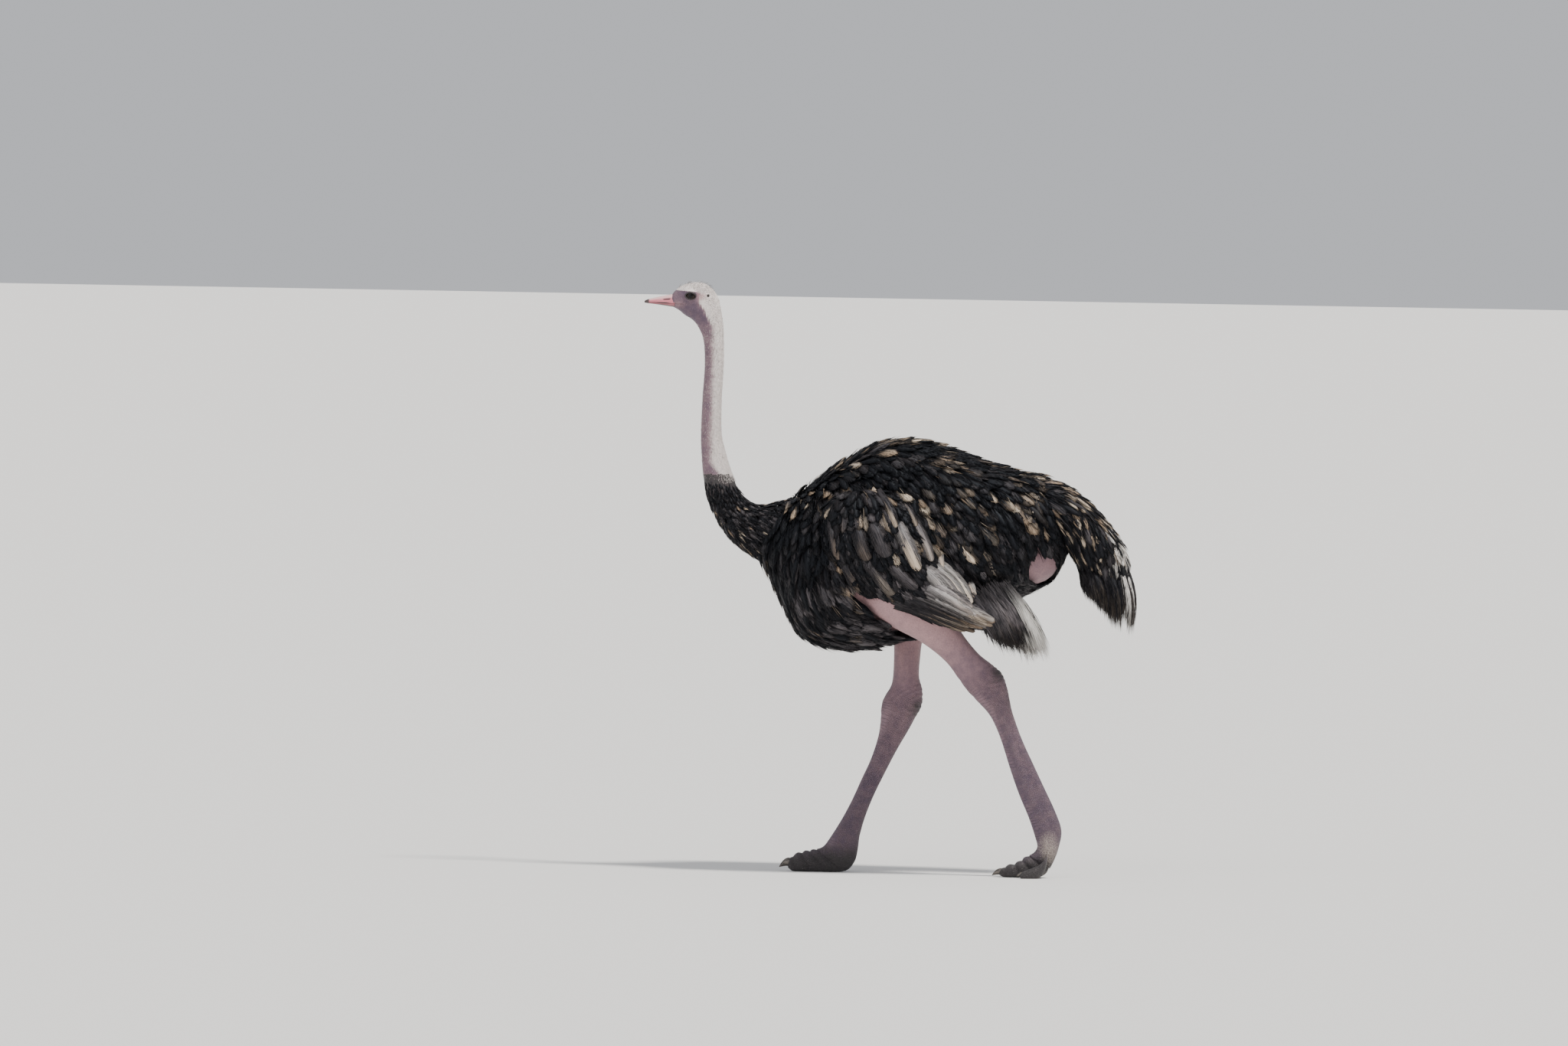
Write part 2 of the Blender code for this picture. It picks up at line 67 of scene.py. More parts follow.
# A rib is a point (y, z) on the upper or rear rail, one on the lower or front rail, the middle X where it
# isn't 0, and a half width.
HEAD = (
    ((-0.7350, 1.8230), (-0.7340, 1.7895), 0.0205),
    ((-0.7270, 1.8340), (-0.7270, 1.7860), 0.0254),
    ((-0.7180, 1.843), (-0.7180, 1.7815), 0.0285),
    ((-0.7060, 1.852), (-0.7060, 1.7740), 0.0330),
    ((-0.6840, 1.861), (-0.6900, 1.7610), 0.0380),
    ((-0.6560, 1.866), (-0.6740, 1.7520), 0.0395),
    ((-0.6270, 1.862), (-0.6610, 1.7420), 0.0380),
    ((-0.6000, 1.841), (-0.6510, 1.7300), 0.0350),
    ((-0.5830, 1.812), (-0.6430, 1.7160), 0.0325),
)
NECK = (
    ((-0.576, 1.781), (-0.638, 1.703), 0.0305),
    ((-0.568, 1.735), (-0.632, 1.684), 0.0290),
    ((-0.564, 1.670), (-0.628, 1.650), 0.0285),
    ((-0.564, 1.590), (-0.627, 1.590), 0.0285),
    ((-0.568, 1.500), (-0.632, 1.500), 0.0290),
    ((-0.567, 1.396), (-0.635, 1.394), 0.0305),
    ((-0.553, 1.330), (-0.632, 1.322), 0.0335),
    ((-0.530, 1.262), (-0.624, 1.246), 0.0380),
    ((-0.502, 1.205), (-0.608, 1.172), 0.0470),
    ((-0.468, 1.172), (-0.572, 1.098), 0.0580),
    ((-0.430, 1.167), (-0.520, 1.037), 0.0720),
    ((-0.385, 1.178), (-0.450, 0.990), 0.0880),
)
TRUNK = (
    ((-0.400, 1.160), (-0.398, 0.960), 0.100),
    ((-0.365, 1.192), (-0.376, 0.862), 0.160),
    ((-0.300, 1.238), (-0.318, 0.756), 0.212),
    ((-0.200, 1.306), (-0.225, 0.715), 0.248),
    ((-0.085, 1.370), (-0.105, 0.716), 0.266),
    ((0.030, 1.388), (0.020, 0.742), 0.272),
    ((0.150, 1.364), (0.150, 0.790), 0.268),
    ((0.270, 1.322), (0.280, 0.842), 0.250),
    ((0.380, 1.292), (0.395, 0.886), 0.215),
    ((0.465, 1.278), (0.480, 0.932), 0.165),
    ((0.525, 1.230), (0.522, 0.995), 0.110),
)
RUMP_END = (
    ((0.552, 1.170), (0.548, 1.060), 0.060),
    ((0.560, 1.120), (0.560, 1.110), 0.008),
)
WING = (
    ((-0.262, 1.150), (-0.262, 1.080), 0.140, 0.040),
    ((-0.235, 1.185), (-0.235, 1.045), 0.150, 0.085),
    ((-0.190, 1.225), (-0.210, 0.960), 0.165, 0.118),
    ((-0.090, 1.240), (-0.110, 0.880), 0.170, 0.136),
    ((0.020, 1.200), (-0.030, 0.842), 0.170, 0.142),
    ((0.095, 1.110), (0.060, 0.802), 0.170, 0.140),
    ((0.155, 1.005), (0.150, 0.780), 0.175, 0.122),
    ((0.235, 0.925), (0.225, 0.775), 0.190, 0.080),
    ((0.290, 0.885), (0.270, 0.780), 0.200, 0.050),
)
TAIL = (
    ((0.400, 1.270), (0.400, 1.120), 0.0, 0.120),
    ((0.500, 1.262), (0.480, 1.085), 0.0, 0.145),
    ((0.585, 1.212), (0.530, 1.040), 0.0, 0.155),
    ((0.660, 1.136), (0.562, 0.990), 0.0, 0.150),
    ((0.715, 1.060), (0.590, 0.945), 0.0, 0.135),
    ((0.738, 0.990), (0.615, 0.910), 0.0, 0.110),
    ((0.735, 0.930), (0.645, 0.885), 0.0, 0.075),
)
LEFT_LEG = (
    ((0.160, 1.000), (-0.130, 0.970), 0.150, 0.098),
    ((0.165, 0.900), (-0.124, 0.872), 0.154, 0.100),
    ((0.175, 0.830), (-0.038, 0.800), 0.148, 0.086),
    ((0.205, 0.772), (0.070, 0.744), 0.136, 0.064),
    ((0.256, 0.710), (0.150, 0.684), 0.122, 0.047),
    ((0.302, 0.674), (0.196, 0.626), 0.112, 0.040),
    ((0.333, 0.646), (0.226, 0.588), 0.108, 0.042),
    ((0.349, 0.606), (0.256, 0.556), 0.106, 0.043),
    ((0.358, 0.562), (0.287, 0.524), 0.104, 0.038),
    ((0.368, 0.520), (0.309, 0.490), 0.102, 0.032),
    ((0.398, 0.440), (0.334, 0.432), 0.099, 0.027),
    ((0.436, 0.360), (0.364, 0.342), 0.095, 0.025),
    ((0.470, 0.290), (0.392, 0.266), 0.091, 0.025),
    ((0.508, 0.212), (0.425, 0.190), 0.087, 0.029),
    ((0.530, 0.150), (0.446, 0.130), 0.085, 0.034),
    ((0.524, 0.100), (0.451, 0.104), 0.085, 0.034),
    ((0.511, 0.060), (0.440, 0.085), 0.084, 0.031),
    ((0.493, 0.026), (0.424, 0.071), 0.083, 0.029),
    ((0.465, 0.002), (0.408, 0.060), 0.081, 0.029),
    ((0.428, 0.000), (0.392, 0.049), 0.079, 0.029),
    ((0.395, 0.000), (0.377, 0.043), 0.077, 0.028),
    ((0.364, 0.000), (0.359, 0.038), 0.0745, 0.026),
    ((0.346, 0.001), (0.345, 0.030), 0.073, 0.020),
    ((0.335, 0.008), (0.336, 0.020), 0.073, 0.008),
)
RIGHT_LEG = (
    ((0.190, 1.010), (-0.100, 1.000), 0.150, 0.098),
    ((0.172, 0.920), (-0.084, 0.900), 0.152, 0.098),
    ((0.125, 0.830), (-0.034, 0.815), 0.140, 0.080),
    ((0.086, 0.750), (-0.012, 0.745), 0.124, 0.058),
    ((0.076, 0.680), (-0.009, 0.672), 0.113, 0.045),
    ((0.074, 0.625), (-0.014, 0.602), 0.108, 0.041),
    ((0.085, 0.582), (-0.038, 0.556), 0.107, 0.042),
    ((0.083, 0.532), (-0.046, 0.520), 0.105, 0.042),
    ((0.062, 0.492), (-0.048, 0.478), 0.103, 0.037),
    ((0.040, 0.452), (-0.055, 0.430), 0.101, 0.031),
    ((0.004, 0.388), (-0.076, 0.362), 0.098, 0.027),
    ((-0.034, 0.312), (-0.106, 0.294), 0.095, 0.025),
    ((-0.066, 0.244), (-0.134, 0.230), 0.091, 0.025),
    ((-0.092, 0.176), (-0.166, 0.168), 0.087, 0.029),
    ((-0.106, 0.122), (-0.200, 0.112), 0.085, 0.034),
    ((-0.111, 0.076), (-0.214, 0.094), 0.085, 0.035),
    ((-0.120, 0.036), (-0.228, 0.084), 0.085, 0.033),
    ((-0.145, 0.006), (-0.242, 0.076), 0.084, 0.031),
    ((-0.188, 0.000), (-0.258, 0.070), 0.083, 0.030),
    ((-0.228, 0.000), (-0.274, 0.067), 0.081, 0.029),
    ((-0.264, 0.000), (-0.291, 0.063), 0.080, 0.029),
    ((-0.296, 0.000), (-0.309, 0.057), 0.0785, 0.027),
    ((-0.320, 0.001), (-0.325, 0.046), 0.0775, 0.021),
    ((-0.333, 0.012), (-0.335, 0.030), 0.077, 0.009),
)
# A toe's middle line (x, y, z), with half width and half height.
LEFT_TOE = (
    ((0.096, 0.490, 0.092), 0.013, 0.014),
    ((0.120, 0.480, 0.046), 0.018, 0.020),
    ((0.136, 0.458, 0.022), 0.019, 0.020),
    ((0.148, 0.430, 0.015), 0.017, 0.016),
    ((0.156, 0.408, 0.011), 0.013, 0.011),
    ((0.159, 0.398, 0.010), 0.005, 0.004),
)
RIGHT_TOE = (
    ((-0.096, -0.150, 0.066), 0.013, 0.014),
    ((-0.122, -0.178, 0.030), 0.018, 0.022),
    ((-0.138, -0.208, 0.021), 0.019, 0.021),
    ((-0.150, -0.236, 0.015), 0.017, 0.016),
    ((-0.157, -0.256, 0.011), 0.013, 0.011),
    ((-0.160, -0.266, 0.010), 0.005, 0.004),
)
BILL_BASE_Y, BILL_TIP_Y = -0.724, -0.8195
MOUTH_Z = 1.8005
EAR_Y, EAR_Z = -0.617, 1.824
LID_SHAPE = 0.62  # the height of the opening between the lids, as a share of its width
# How far down the leg the hock is, and the pitch and the stretch round the leg of the folds about it.
HOCK, FOLD_PITCH, FOLD_STRETCH = 0.470, 0.0145, 0.030
FLOOR = 0.0004  # the level of the lowest points of the feet


# ---------------------------------------------------------------- sizes and colours that a user would change
def length(name, text, value):
    return FloatProperty(name=name, description=text, default=value, unit="LENGTH", min=0.0, precision=4)


def plain(name, text, value):
    return FloatProperty(name=name, description=text, default=value, min=0.0)


def colour(name, text, value):
    return FloatVectorProperty(
        name=name, description=text, default=value, subtype="COLOR", size=3, min=0.0, max=1.0
    )


class OstrichSizes(bpy.types.PropertyGroup):
    coat_depth: length("Coat depth", "How deep the skin lies under the body feathers", 0.034)
    down_depth: length("Down depth", "How deep the skin lies under the down of head and neck", 0.002)
    feather_length: length("Feather length", "Length of a body feather", 0.125)
    feather_width: length("Feather width", "Width of a body feather", 0.046)
    feather_spacing: length("Feather spacing", "From one body feather to the next", 0.0210)
    feather_thickness: length("Feather thickness", "Thickness of a vane at its quill", 0.0012)
    down_length: length("Down length", "Length of a tuft of down on the neck", 0.0075)
    down_spacing: length("Down spacing", "From one tuft of down to the next", 0.0036)
    eye_opening: length("Eye opening", "Width of the opening between the lids", 0.031)
    raggedness: plain("Raggedness", "How much feathers differ in length and lie", 1.0)


class OstrichColours(bpy.types.PropertyGroup):
    skin_pink: colour("Pink skin", "Bare skin of thighs and neck", (0.44, 0.262, 0.265))
    # The mauve is the skin's own hue, darkened as painted shade of the face, the neck's front and the shanks.
    skin_mauve: colour("Mauve skin", "Shaded skin of the face, neck front and shanks", (0.103, 0.068, 0.100))
    # The dark horn also serves as painted shade: in the ear's opening, the hock's creases, round the eyes and
    # on the body's skin under the coat.
    horn_dark: colour("Dark horn", "Toes, and the pad behind each hock", (0.030, 0.027, 0.027))
    dust: colour("Dust", "Pale dust on the feet", (0.55, 0.47, 0.40))
    down_white: colour("White down", "Down of head and neck", (0.80, 0.74, 0.70))
    bill_pink: colour("Pink bill", "Sides of the bill", (0.60, 0.17, 0.21))
    # The pale ridge is painted light on the bill's top.
    bill_pale: colour("Pale bill", "Ridge of the bill", (0.74, 0.46, 0.46))
    # Also painted shade along the mouth's edge; the tip's dark is the horn's own.
    bill_dark: colour("Dark bill", "Tip and lower edge of the bill", (0.055, 0.035, 0.035))
    iris: colour("Iris", "Ring round the pupil", (0.012, 0.007, 0.005))
    black: colour("Black feather", "Ground colour of the plumage", (0.0024, 0.0025, 0.0036))
    brown: colour("Brown feather", "Worn edges of black feathers", (0.022, 0.015, 0.013))
    tan: colour("Tan tip", "Worn tips of back and wing feathers", (0.440, 0.320, 0.220))
    grey: colour("Grey feather", "Grey vanes of the wing", (0.222, 0.194, 0.200))
    white: colour("White plume", "Pale plumes of wing and tail", (0.72, 0.69, 0.65))
    claw: colour("Claw", "Blunt nails of the toes", (0.045, 0.038, 0.034))


def sizes():
    return bpy.context.scene.ostrich_sizes


def shade_of(name):
    return (*getattr(bpy.context.scene.ostrich_colours, name), 1.0)


# ---------------------------------------------------------------- numbers
def smooth(low, high, x):
    """0 below low, 1 above high, and a cubic ease between them; low may be the greater."""
    t = np.clip((x - low) / (high - low), 0, 1)
    return t * t * (3 - 2 * t)


def bump_at(points, centre, widths):
    """A round hill of height 1 at a centre: e to the minus half the squared distance, counted in widths."""
    d = (points - np.array(centre)) / np.array(widths)
    return np.exp(-0.5 * (d * d).sum(-1))


def hill(x, centre, width):
    """e to the minus squared distance of one number from a centre, counted in widths."""
    return np.exp(-(((x - centre) / width) ** 2))


def unit(vectors):
    """The vectors at length 1."""
    return vectors / np.maximum(np.linalg.norm(vectors, axis=-1, keepdims=True), 1e-9)


def rounded(turn, power):
    """Cosine and sine of an angle, moved along their ray onto a superellipse of that power."""
    c, s = np.cos(turn), np.sin(turn)
    far = (np.abs(c) ** power + np.abs(s) ** power) ** (-1 / power)
    return c * far, s * far


class Tube:
    """A closed tube over ribs: u runs from 0 to 1 along it, and v from 0 to 1 round it.

    Along u, each number of a rib follows a Catmull-Rom curve. Round v, a point lies on a superellipse:
    v = 0 is the side towards +X, 0.25 the upper rail, 0.5 the side towards -X and 0.75 the lower rail.
    """

    def __init__(self, ribs, side=1, power=2.15, fullness=0.0, insets=0.0):
        insets = np.broadcast_to(np.asarray(insets, float), len(ribs))
        rows = []
        for rib, inset in zip(ribs, insets):
            (top_y, top_z), (low_y, low_z) = rib[:2]
            x = side * rib[2] if len(rib) == 4 else 0.0
            rows.append((x, top_y + SHIFT, top_z, x, low_y + SHIFT, low_z, rib[-1], inset))
        rows = np.array(rows)
        self.count = len(rows)
        self.rows = np.vstack([2 * rows[0] - rows[1], rows, 2 * rows[-1] - rows[-2]])
        self.power, self.fullness = power, fullness

    def row(self, u):
        """Ribs at u. Past either end they go straight on."""
        held = np.clip(u, 0, 1)
        place = held * (self.count - 1)
        i = np.minimum(place.astype(int), self.count - 2)
        t = (place - i)[..., None]
        a, b, c, d = (self.rows[i + k] for k in range(4))
        first, second, third = 0.5 * (c - a), a - 2.5 * b + 2 * c - 0.5 * d, 1.5 * (b - c) + 0.5 * (d - a)
        value = b + t * first + t * t * second + t**3 * third
        slope = (first + 2 * t * second + 3 * t * t * third) * (self.count - 1)
        return value + (u - held)[..., None] * slope

    def at(self, u, v):
        """Points: half the way between the rails, plus the superellipse's share of half their distance
        and of the half width. An inset brings the points in, and fullness widens the lower half."""
        u, v = np.broadcast_arrays(np.asarray(u, float), np.asarray(v, float))
        rows = self.row(u)
        top, low, half, inset = rows[..., 0:3], rows[..., 3:6], rows[..., 6], rows[..., 7]
        rise = (top - low) / 2
        tall = np.maximum(np.linalg.norm(rise, axis=-1), 1e-6)
        c, s = rounded(2 * math.pi * v, self.power)
        points = (top + low) / 2 + rise * (s * np.maximum(1 - inset / tall, 0.05))[..., None]
        points[..., 0] += np.maximum(half - inset, 0.05 * half) * c * (1 - self.fullness * s)
        return points

    def rings(self, stops, columns):
        """Points of the rings at the stops along the tube, evenly spaced round it."""
        return self.at(*np.meshgrid(stops, np.arange(columns) / columns, indexing="ij"))

    def frame(self, u, v):
        """Points, the slopes of the surface along u and v, and its outward normals."""
        e = 1e-3
        along = (self.at(u + e, v) - self.at(u - e, v)) / (2 * e)
        round_ = (self.at(u, v + e) - self.at(u, v - e)) / (2 * e)
        normal = unit(np.cross(along, round_))
        return self.at(u, v), along, round_, normal


def toe_ribs(line):
    """Ribs of a toe: its half height above and below each point of its middle line."""
    return [((y, z + h), (y, z - h - 0.002), x, w) for (x, y, z), w, h in line]


# ---------------------------------------------------------------- meshes
def placed(name, mesh, material):
    """An object at the origin for a finished mesh, smooth and of one material."""
    mesh.name = name
    mesh.materials.clear()
    mesh.materials.append(material)
    mesh.shade_smooth()
    piece = bpy.data.objects.new(name, mesh)
    bpy.context.scene.collection.objects.link(piece)
    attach(piece, "root")
    return piece


def new_piece(name, points, faces, slot, material):
    """A mesh object at the origin, from arrays of points and of triangles or quads."""
    mesh = bpy.data.meshes.new(name)
    mesh.vertices.add(len(points))
    mesh.vertices.foreach_set("co", np.asarray(points, np.float32).ravel())
    mesh.loops.add(faces.size)
    mesh.loops.foreach_set("vertex_index", np.asarray(faces, np.int32).ravel())
    mesh.polygons.add(len(faces))
    mesh.polygons.foreach_set("loop_start", np.arange(0, faces.size, faces.shape[1], dtype=np.int32))
    mesh.update(calc_edges=True)
    return placed(name, mesh, material)


def give(piece, name, values):
    """Stores one vector for each point of a mesh. Values on rings also serve the middles of the end rings."""
    if values.ndim == 3:
        flat = values.reshape(-1, 3)
        values = np.vstack([flat, flat[:1], flat[-1:]])
    layer = piece.data.attributes.new(name, "FLOAT_VECTOR", "POINT")
    layer.data.foreach_set("vector", np.asarray(values, np.float32).ravel())


def grid(points):
    """Points and triangles of a tube from rings of points: rows run along it, columns round it, and each
    end is closed by a fan to its middle."""
    rows, columns = points.shape[:2]
    index = np.arange(rows * columns).reshape(rows, columns)
    a, b = index[:-1], np.roll(index, -1, 1)[:-1]
    c, d = np.roll(index, -1, 1)[1:], index[1:]
    faces = np.stack([np.stack([a, b, c], -1), np.stack([a, c, d], -1)], 2).reshape(-1, 3)
    flat = points.reshape(-1, 3)
    for ring, step in ((index[0], -1), (index[-1], 1)):
        fan = np.stack([ring, np.roll(ring, -1), np.full(columns, len(flat))], -1)
        flat = np.vstack([flat, flat[ring].mean(0)])
        faces = np.vstack([faces, fan[:, ::step]])
    return flat, outward(flat, faces)


def outward(points, faces):
    """The faces, turned round where the closed shape that they bound would be inside out: its volume is
    the sum, over the triangles, of the corner vectors' triple products."""
    a, b, c = (points[faces[:, k]] for k in range(3))
    return faces if np.einsum("ij,ij->", a, np.cross(b, c)) > 0 else faces[:, ::-1]


# ---------------------------------------------------------------- materials
class Value:
    """A number that changes over a surface. Reckoning with it adds Math nodes."""

    def __init__(self, finish, socket):
        self.finish, self.socket = finish, socket

    def reckon(self, operation, *numbers):
        return self.finish.node("ShaderNodeMath", {"operation": operation}, dict(enumerate(numbers)))

    def __add__(self, other):
        return self.reckon("ADD", self, other)

    def __sub__(self, other):
        return self.reckon("SUBTRACT", self, other)

    def __rsub__(self, other):
        return self.reckon("SUBTRACT", other, self)

    def __mul__(self, other):
        return self.reckon("MULTIPLY", self, other)

    __radd__, __rmul__ = __add__, __mul__

    def sine(self):
        return self.reckon("SINE")

    def eased(self, low, high):
        """0 at low and 1 at high, with a smooth ease between them; low may be the greater."""
        inputs = {"Value": self, "From Min": low, "From Max": high}
        return self.finish.node("ShaderNodeMapRange", {"interpolation_type": "SMOOTHSTEP"}, inputs)


class Finish:
    """One material being made: its nodes, and the shader that they feed."""

    def __init__(self, name, **constants):
        self.material = bpy.data.materials.new(name)
        self.material.use_nodes = True
        self.tree = self.material.node_tree
        self.shader = self.tree.nodes["Principled BSDF"]
        for socket, value in constants.items():
            self.shader.inputs[socket.replace("_", " ")].default_value = value

    def node(self, kind, settings=(), inputs=(), output=0):
        """A new node with its settings and inputs, as the Value of one of its outputs."""
        made = self.tree.nodes.new(kind)
        for name, value in dict(settings).items():
            setattr(made, name, value)
        for name, value in dict(inputs).items():
            if isinstance(value, Value):
                self.tree.links.new(value.socket, made.inputs[name])
            else:
                made.inputs[name].default_value = value
        return Value(self, made.outputs[output])

    def stored(self, name):
        """The three numbers stored under a name at each point."""
        vector = self.node("ShaderNodeAttribute", {"attribute_name": name}, output="Vector")
        return [self.node("ShaderNodeSeparateXYZ", (), {0: vector}, axis) for axis in range(3)]

    def place(self, scale=(1, 1, 1)):
        here = self.node("ShaderNodeTexCoord", output="Object")
        return self.node("ShaderNodeMapping", (), {"Vector": here, "Scale": scale})

    def vector(self, x, y, z):
        return self.node("ShaderNodeCombineXYZ", (), {0: x, 1: y, 2: z})

    def noise(self, where, scale, detail=3.0, roughness=0.55):
        inputs = {"Vector": where, "Scale": scale, "Detail": detail, "Roughness": roughness}
        return self.node("ShaderNodeTexNoise", (), inputs)

    def cells(self, where, scale, feature="F1"):
        return self.node("ShaderNodeTexVoronoi", {"feature": feature}, {"Vector": where, "Scale": scale})

    def mix(self, share, first, second):
        """A colour between two: sockets 6 and 7 of a Mix node take colours, and its output 2 gives one."""
        settings = {"data_type": "RGBA", "clamp_factor": True}
        return self.node("ShaderNodeMix", settings, {0: share, 6: first, 7: second}, 2)

    def bump(self, height, distance, strength):
        return self.node("ShaderNodeBump", (), {"Height": height, "Distance": distance, "Strength": strength})

    def feed(self, **links):
        """Links values to the shader's own sockets, and gives the finished material."""
        for socket, value in links.items():
            self.tree.links.new(value.socket, self.shader.inputs[socket.replace("_", " ")])
        return self.material


def skin_finish():
    """Bare skin. zone holds how pink, how white with down, and how dark with horn and with painted shade;
    leg holds metres down the leg, how much it is the leg's front and how dusty it is."""
    made = Finish("ostrich_skin", Specular_IOR_Level=0.35, Sheen_Weight=0.08)
    pink, white, horn_and_shade = made.stored("zone")
    down_leg, front, dusty = made.stored("leg")
    here = made.place()
    blotch = made.noise(here, 38.0, 4.0, 0.6)
    fine = made.noise(here, 240.0, 3.0, 0.6)
    pores = made.cells(here, 420.0)
    base = made.mix(pink + (blotch - 0.5) * 0.7, shade_of("skin_mauve"), shade_of("skin_pink"))
    downy = (white + (fine - 0.55) * 0.9 + (blotch - 0.5) * 0.45).eased(0.22, 0.88) * 0.85
    base = made.mix(downy, base, shade_of("down_white"))
    # Dark horn of the toes and the hock's pad, and the same dark as painted shade in the ear, the hock's
    # creases, round the eyes and under the body's coat.
    base = made.mix((horn_and_shade + (blotch - 0.5) * 0.55).eased(0.08, 0.95), base, shade_of("horn_dark"))
    base = made.mix((dusty * (fine + 0.45)).eased(0.35, 0.75), base, shade_of("dust"))
    base = made.mix((fine - 0.42) * 0.8, base, (0.02, 0.012, 0.014, 1.0))
    scale = made.node("ShaderNodeMath", {"operation": "FRACT"}, {0: down_leg * 88.0})
    groove = (scale.eased(0.0, 0.16) * (1.0 - scale.eased(0.86, 1.0))) * front
    scaly = down_leg.eased(0.36, 0.56)
    net = made.cells(here, 210.0, "DISTANCE_TO_EDGE").eased(0.0, 0.22) * (1.0 - front)
    gaps = (1.0 - net) * (1.0 - front) + (1.0 - groove) * front
    base = made.mix(gaps * scaly * 0.22, base, (0.030, 0.018, 0.022, 1.0))
    # Pale flecks on the scaly skin: painted highlights, glints of light on the scales, fewer on the horn.
    painted_glints = (fine + blotch * 0.2 - 0.60) * scaly * (1.0 - horn_and_shade * 0.85) * 0.9
    base = made.mix(painted_glints, base, (0.42, 0.36, 0.40, 1.0))
    height = groove * 1.3 + net * 1.0 * scaly + fine * 0.35 + pores * 0.18 + blotch * 0.35
    rough = 0.52 + fine * 0.22 + white * 0.15 - horn_and_shade * 0.12
    return made.feed(Base_Color=base, Roughness=rough, Normal=made.bump(height, 0.0022, 0.9))


def plumage_finish():
    """Every feather. vane holds its across, along and own random number; dye holds how tan its tip is, how
    grey its vane and how white. Barbs run out from the quill at a slant."""
    made = Finish("ostrich_plumage", Specular_IOR_Level=0.18, Specular_Tint=(0.80, 0.88, 1.0, 1.0))
    across, along, own = made.stored("vane")
    tan, grey, white = made.stored("dye")
    aside = made.node("ShaderNodeMath", {"operation": "ABSOLUTE"}, {0: across})
    slant = along - aside * 0.22
    barbs = made.noise(made.vector(across * 0.9 + own * 31.0, slant * 26.0, own * 17.0), 1.0, 3.0, 0.7)
    patchy = made.noise(made.vector(across * 1.3 + own * 51.0, along * 2.6, own * 37.0), 1.3, 3.0, 0.6)
    streak = made.noise(made.vector(across * 9.0 + own * 11.0, along * 1.8, own * 29.0), 1.6, 3.0, 0.6)
    lines = (streak + (patchy - 0.5) * 0.5).eased(0.36, 0.62)
    off = across - (own * 7.0).sine() * 0.45
    tip = (along + (streak - 0.5) * 1.10 + (barbs - 0.5) * 0.30 - off * off * 0.75).eased(0.35, 0.90)
    base = made.mix((own - 0.75) * 1.2 + (patchy - 0.5) * 0.3, shade_of("black"), shade_of("brown"))
    base = made.mix(grey * (lines * 0.75 + barbs * 0.35 - 0.02), base, shade_of("grey"))
    worn_tan = made.mix(own * 1.4 - 0.3, shade_of("tan"), (0.72, 0.60, 0.47, 1.0))
    base = made.mix(tan * tip * (streak * 2.6 + barbs * 0.4 - 0.52), base, worn_tan)
    base = made.mix(white * (streak * 0.85 + barbs * 0.60 - 0.46).eased(0.0, 0.30), base, shade_of("white"))
    # Painted shade: grey vanes darken to black towards their edges and their roots, where the neighbouring
    # feathers lie over them.
    edge = aside.eased(0.45, 1.0) * (1.0 - tan * 0.7) * 0.6 + along.eased(0.35, 0.0) * 0.7
    base = made.mix(edge * grey, base, shade_of("black"))
    rough = 0.34 + barbs * 0.24 + tip * 0.12
    height = barbs * 0.55 + streak * 0.5
    return made.feed(Base_Color=base, Roughness=rough, Normal=made.bump(height, 0.0020, 0.65))


def down_finish():
    """Down and bristles: dye holds how dark a tuft is and how grey, and vane its own random number."""
    made = Finish("ostrich_down", Specular_IOR_Level=0.2, Sheen_Weight=0.25, Roughness=0.8)
    own = made.stored("vane")[2]
    dark, grey = made.stored("dye")[:2]
    base = made.mix(own * 0.35 + grey * 0.5, shade_of("down_white"), (0.26, 0.17, 0.19, 1.0))
    base = made.mix(dark, base, (0.035, 0.028, 0.028, 1.0))
    return made.feed(Base_Color=base)


def bill_finish():
    """The horny bill: tone holds how dark, how pale, and how deep in the nostril or the mouth's edge. The
    dark of the mouth's edge and of the nostril is painted shade, and the pale top is painted light from
    above.
    """
    made = Finish("ostrich_bill", Specular_IOR_Level=0.5, Coat_Weight=0.15, Coat_Roughness=0.3)
    dark, pale, deep = made.stored("tone")
    here = made.place((1.0, 0.25, 1.0))
    streak = made.noise(here, 120.0, 4.0, 0.6)
    # Paler towards the top of the upper bill: painted light from above.
    base = made.mix(pale + (streak - 0.5) * 0.6, shade_of("bill_pink"), shade_of("bill_pale"))
    base = made.mix((dark + (streak - 0.5) * 0.5).eased(0.2, 0.8), base, shade_of("bill_dark"))
    # Painted shade inside the nostrils.
    base = made.mix(deep, base, (0.02, 0.010, 0.012, 1.0))
    rough = 0.34 + streak * 0.18
    return made.feed(Base_Color=base, Roughness=rough, Normal=made.bump(streak, 0.0006, 0.6))


def eye_finish():
    """A dark eye: tone holds the angle from its axis and the turn about it, in radians."""
    coat = {"Coat_Weight": 0.18, "Coat_Roughness": 0.04}
    made = Finish("ostrich_eye", Roughness=0.12, Specular_IOR_Level=0.15, **coat)
    angle, turn = made.stored("tone")[:2]
    rays = made.noise(made.vector(turn * 9.0, angle * 2.0, 0.0), 3.0, 3.0)
    base = made.mix(angle.eased(0.30, 0.34), (0.002, 0.002, 0.002, 1.0), shade_of("iris"))
    base = made.mix((rays - 0.35) * angle.eased(0.3, 0.6), base, (0.026, 0.014, 0.009, 1.0))
    base = made.mix(angle.eased(0.60, 0.72), base, (0.010, 0.007, 0.006, 1.0))
    return made.feed(Base_Color=base)


def claw_finish():
    """Dull dark horn with dusty streaks along the nail."""
    made = Finish("ostrich_claw", Specular_IOR_Level=0.5)
    streak = made.noise(made.place((1.0, 0.2, 1.0)), 160.0, 4.0, 0.6)
    base = made.mix((streak - 0.45) * 1.4, shade_of("claw"), shade_of("dust"))
    return made.feed(Base_Color=base, Roughness=0.35 + streak * 0.3, Normal=made.bump(streak, 0.0008, 0.6))


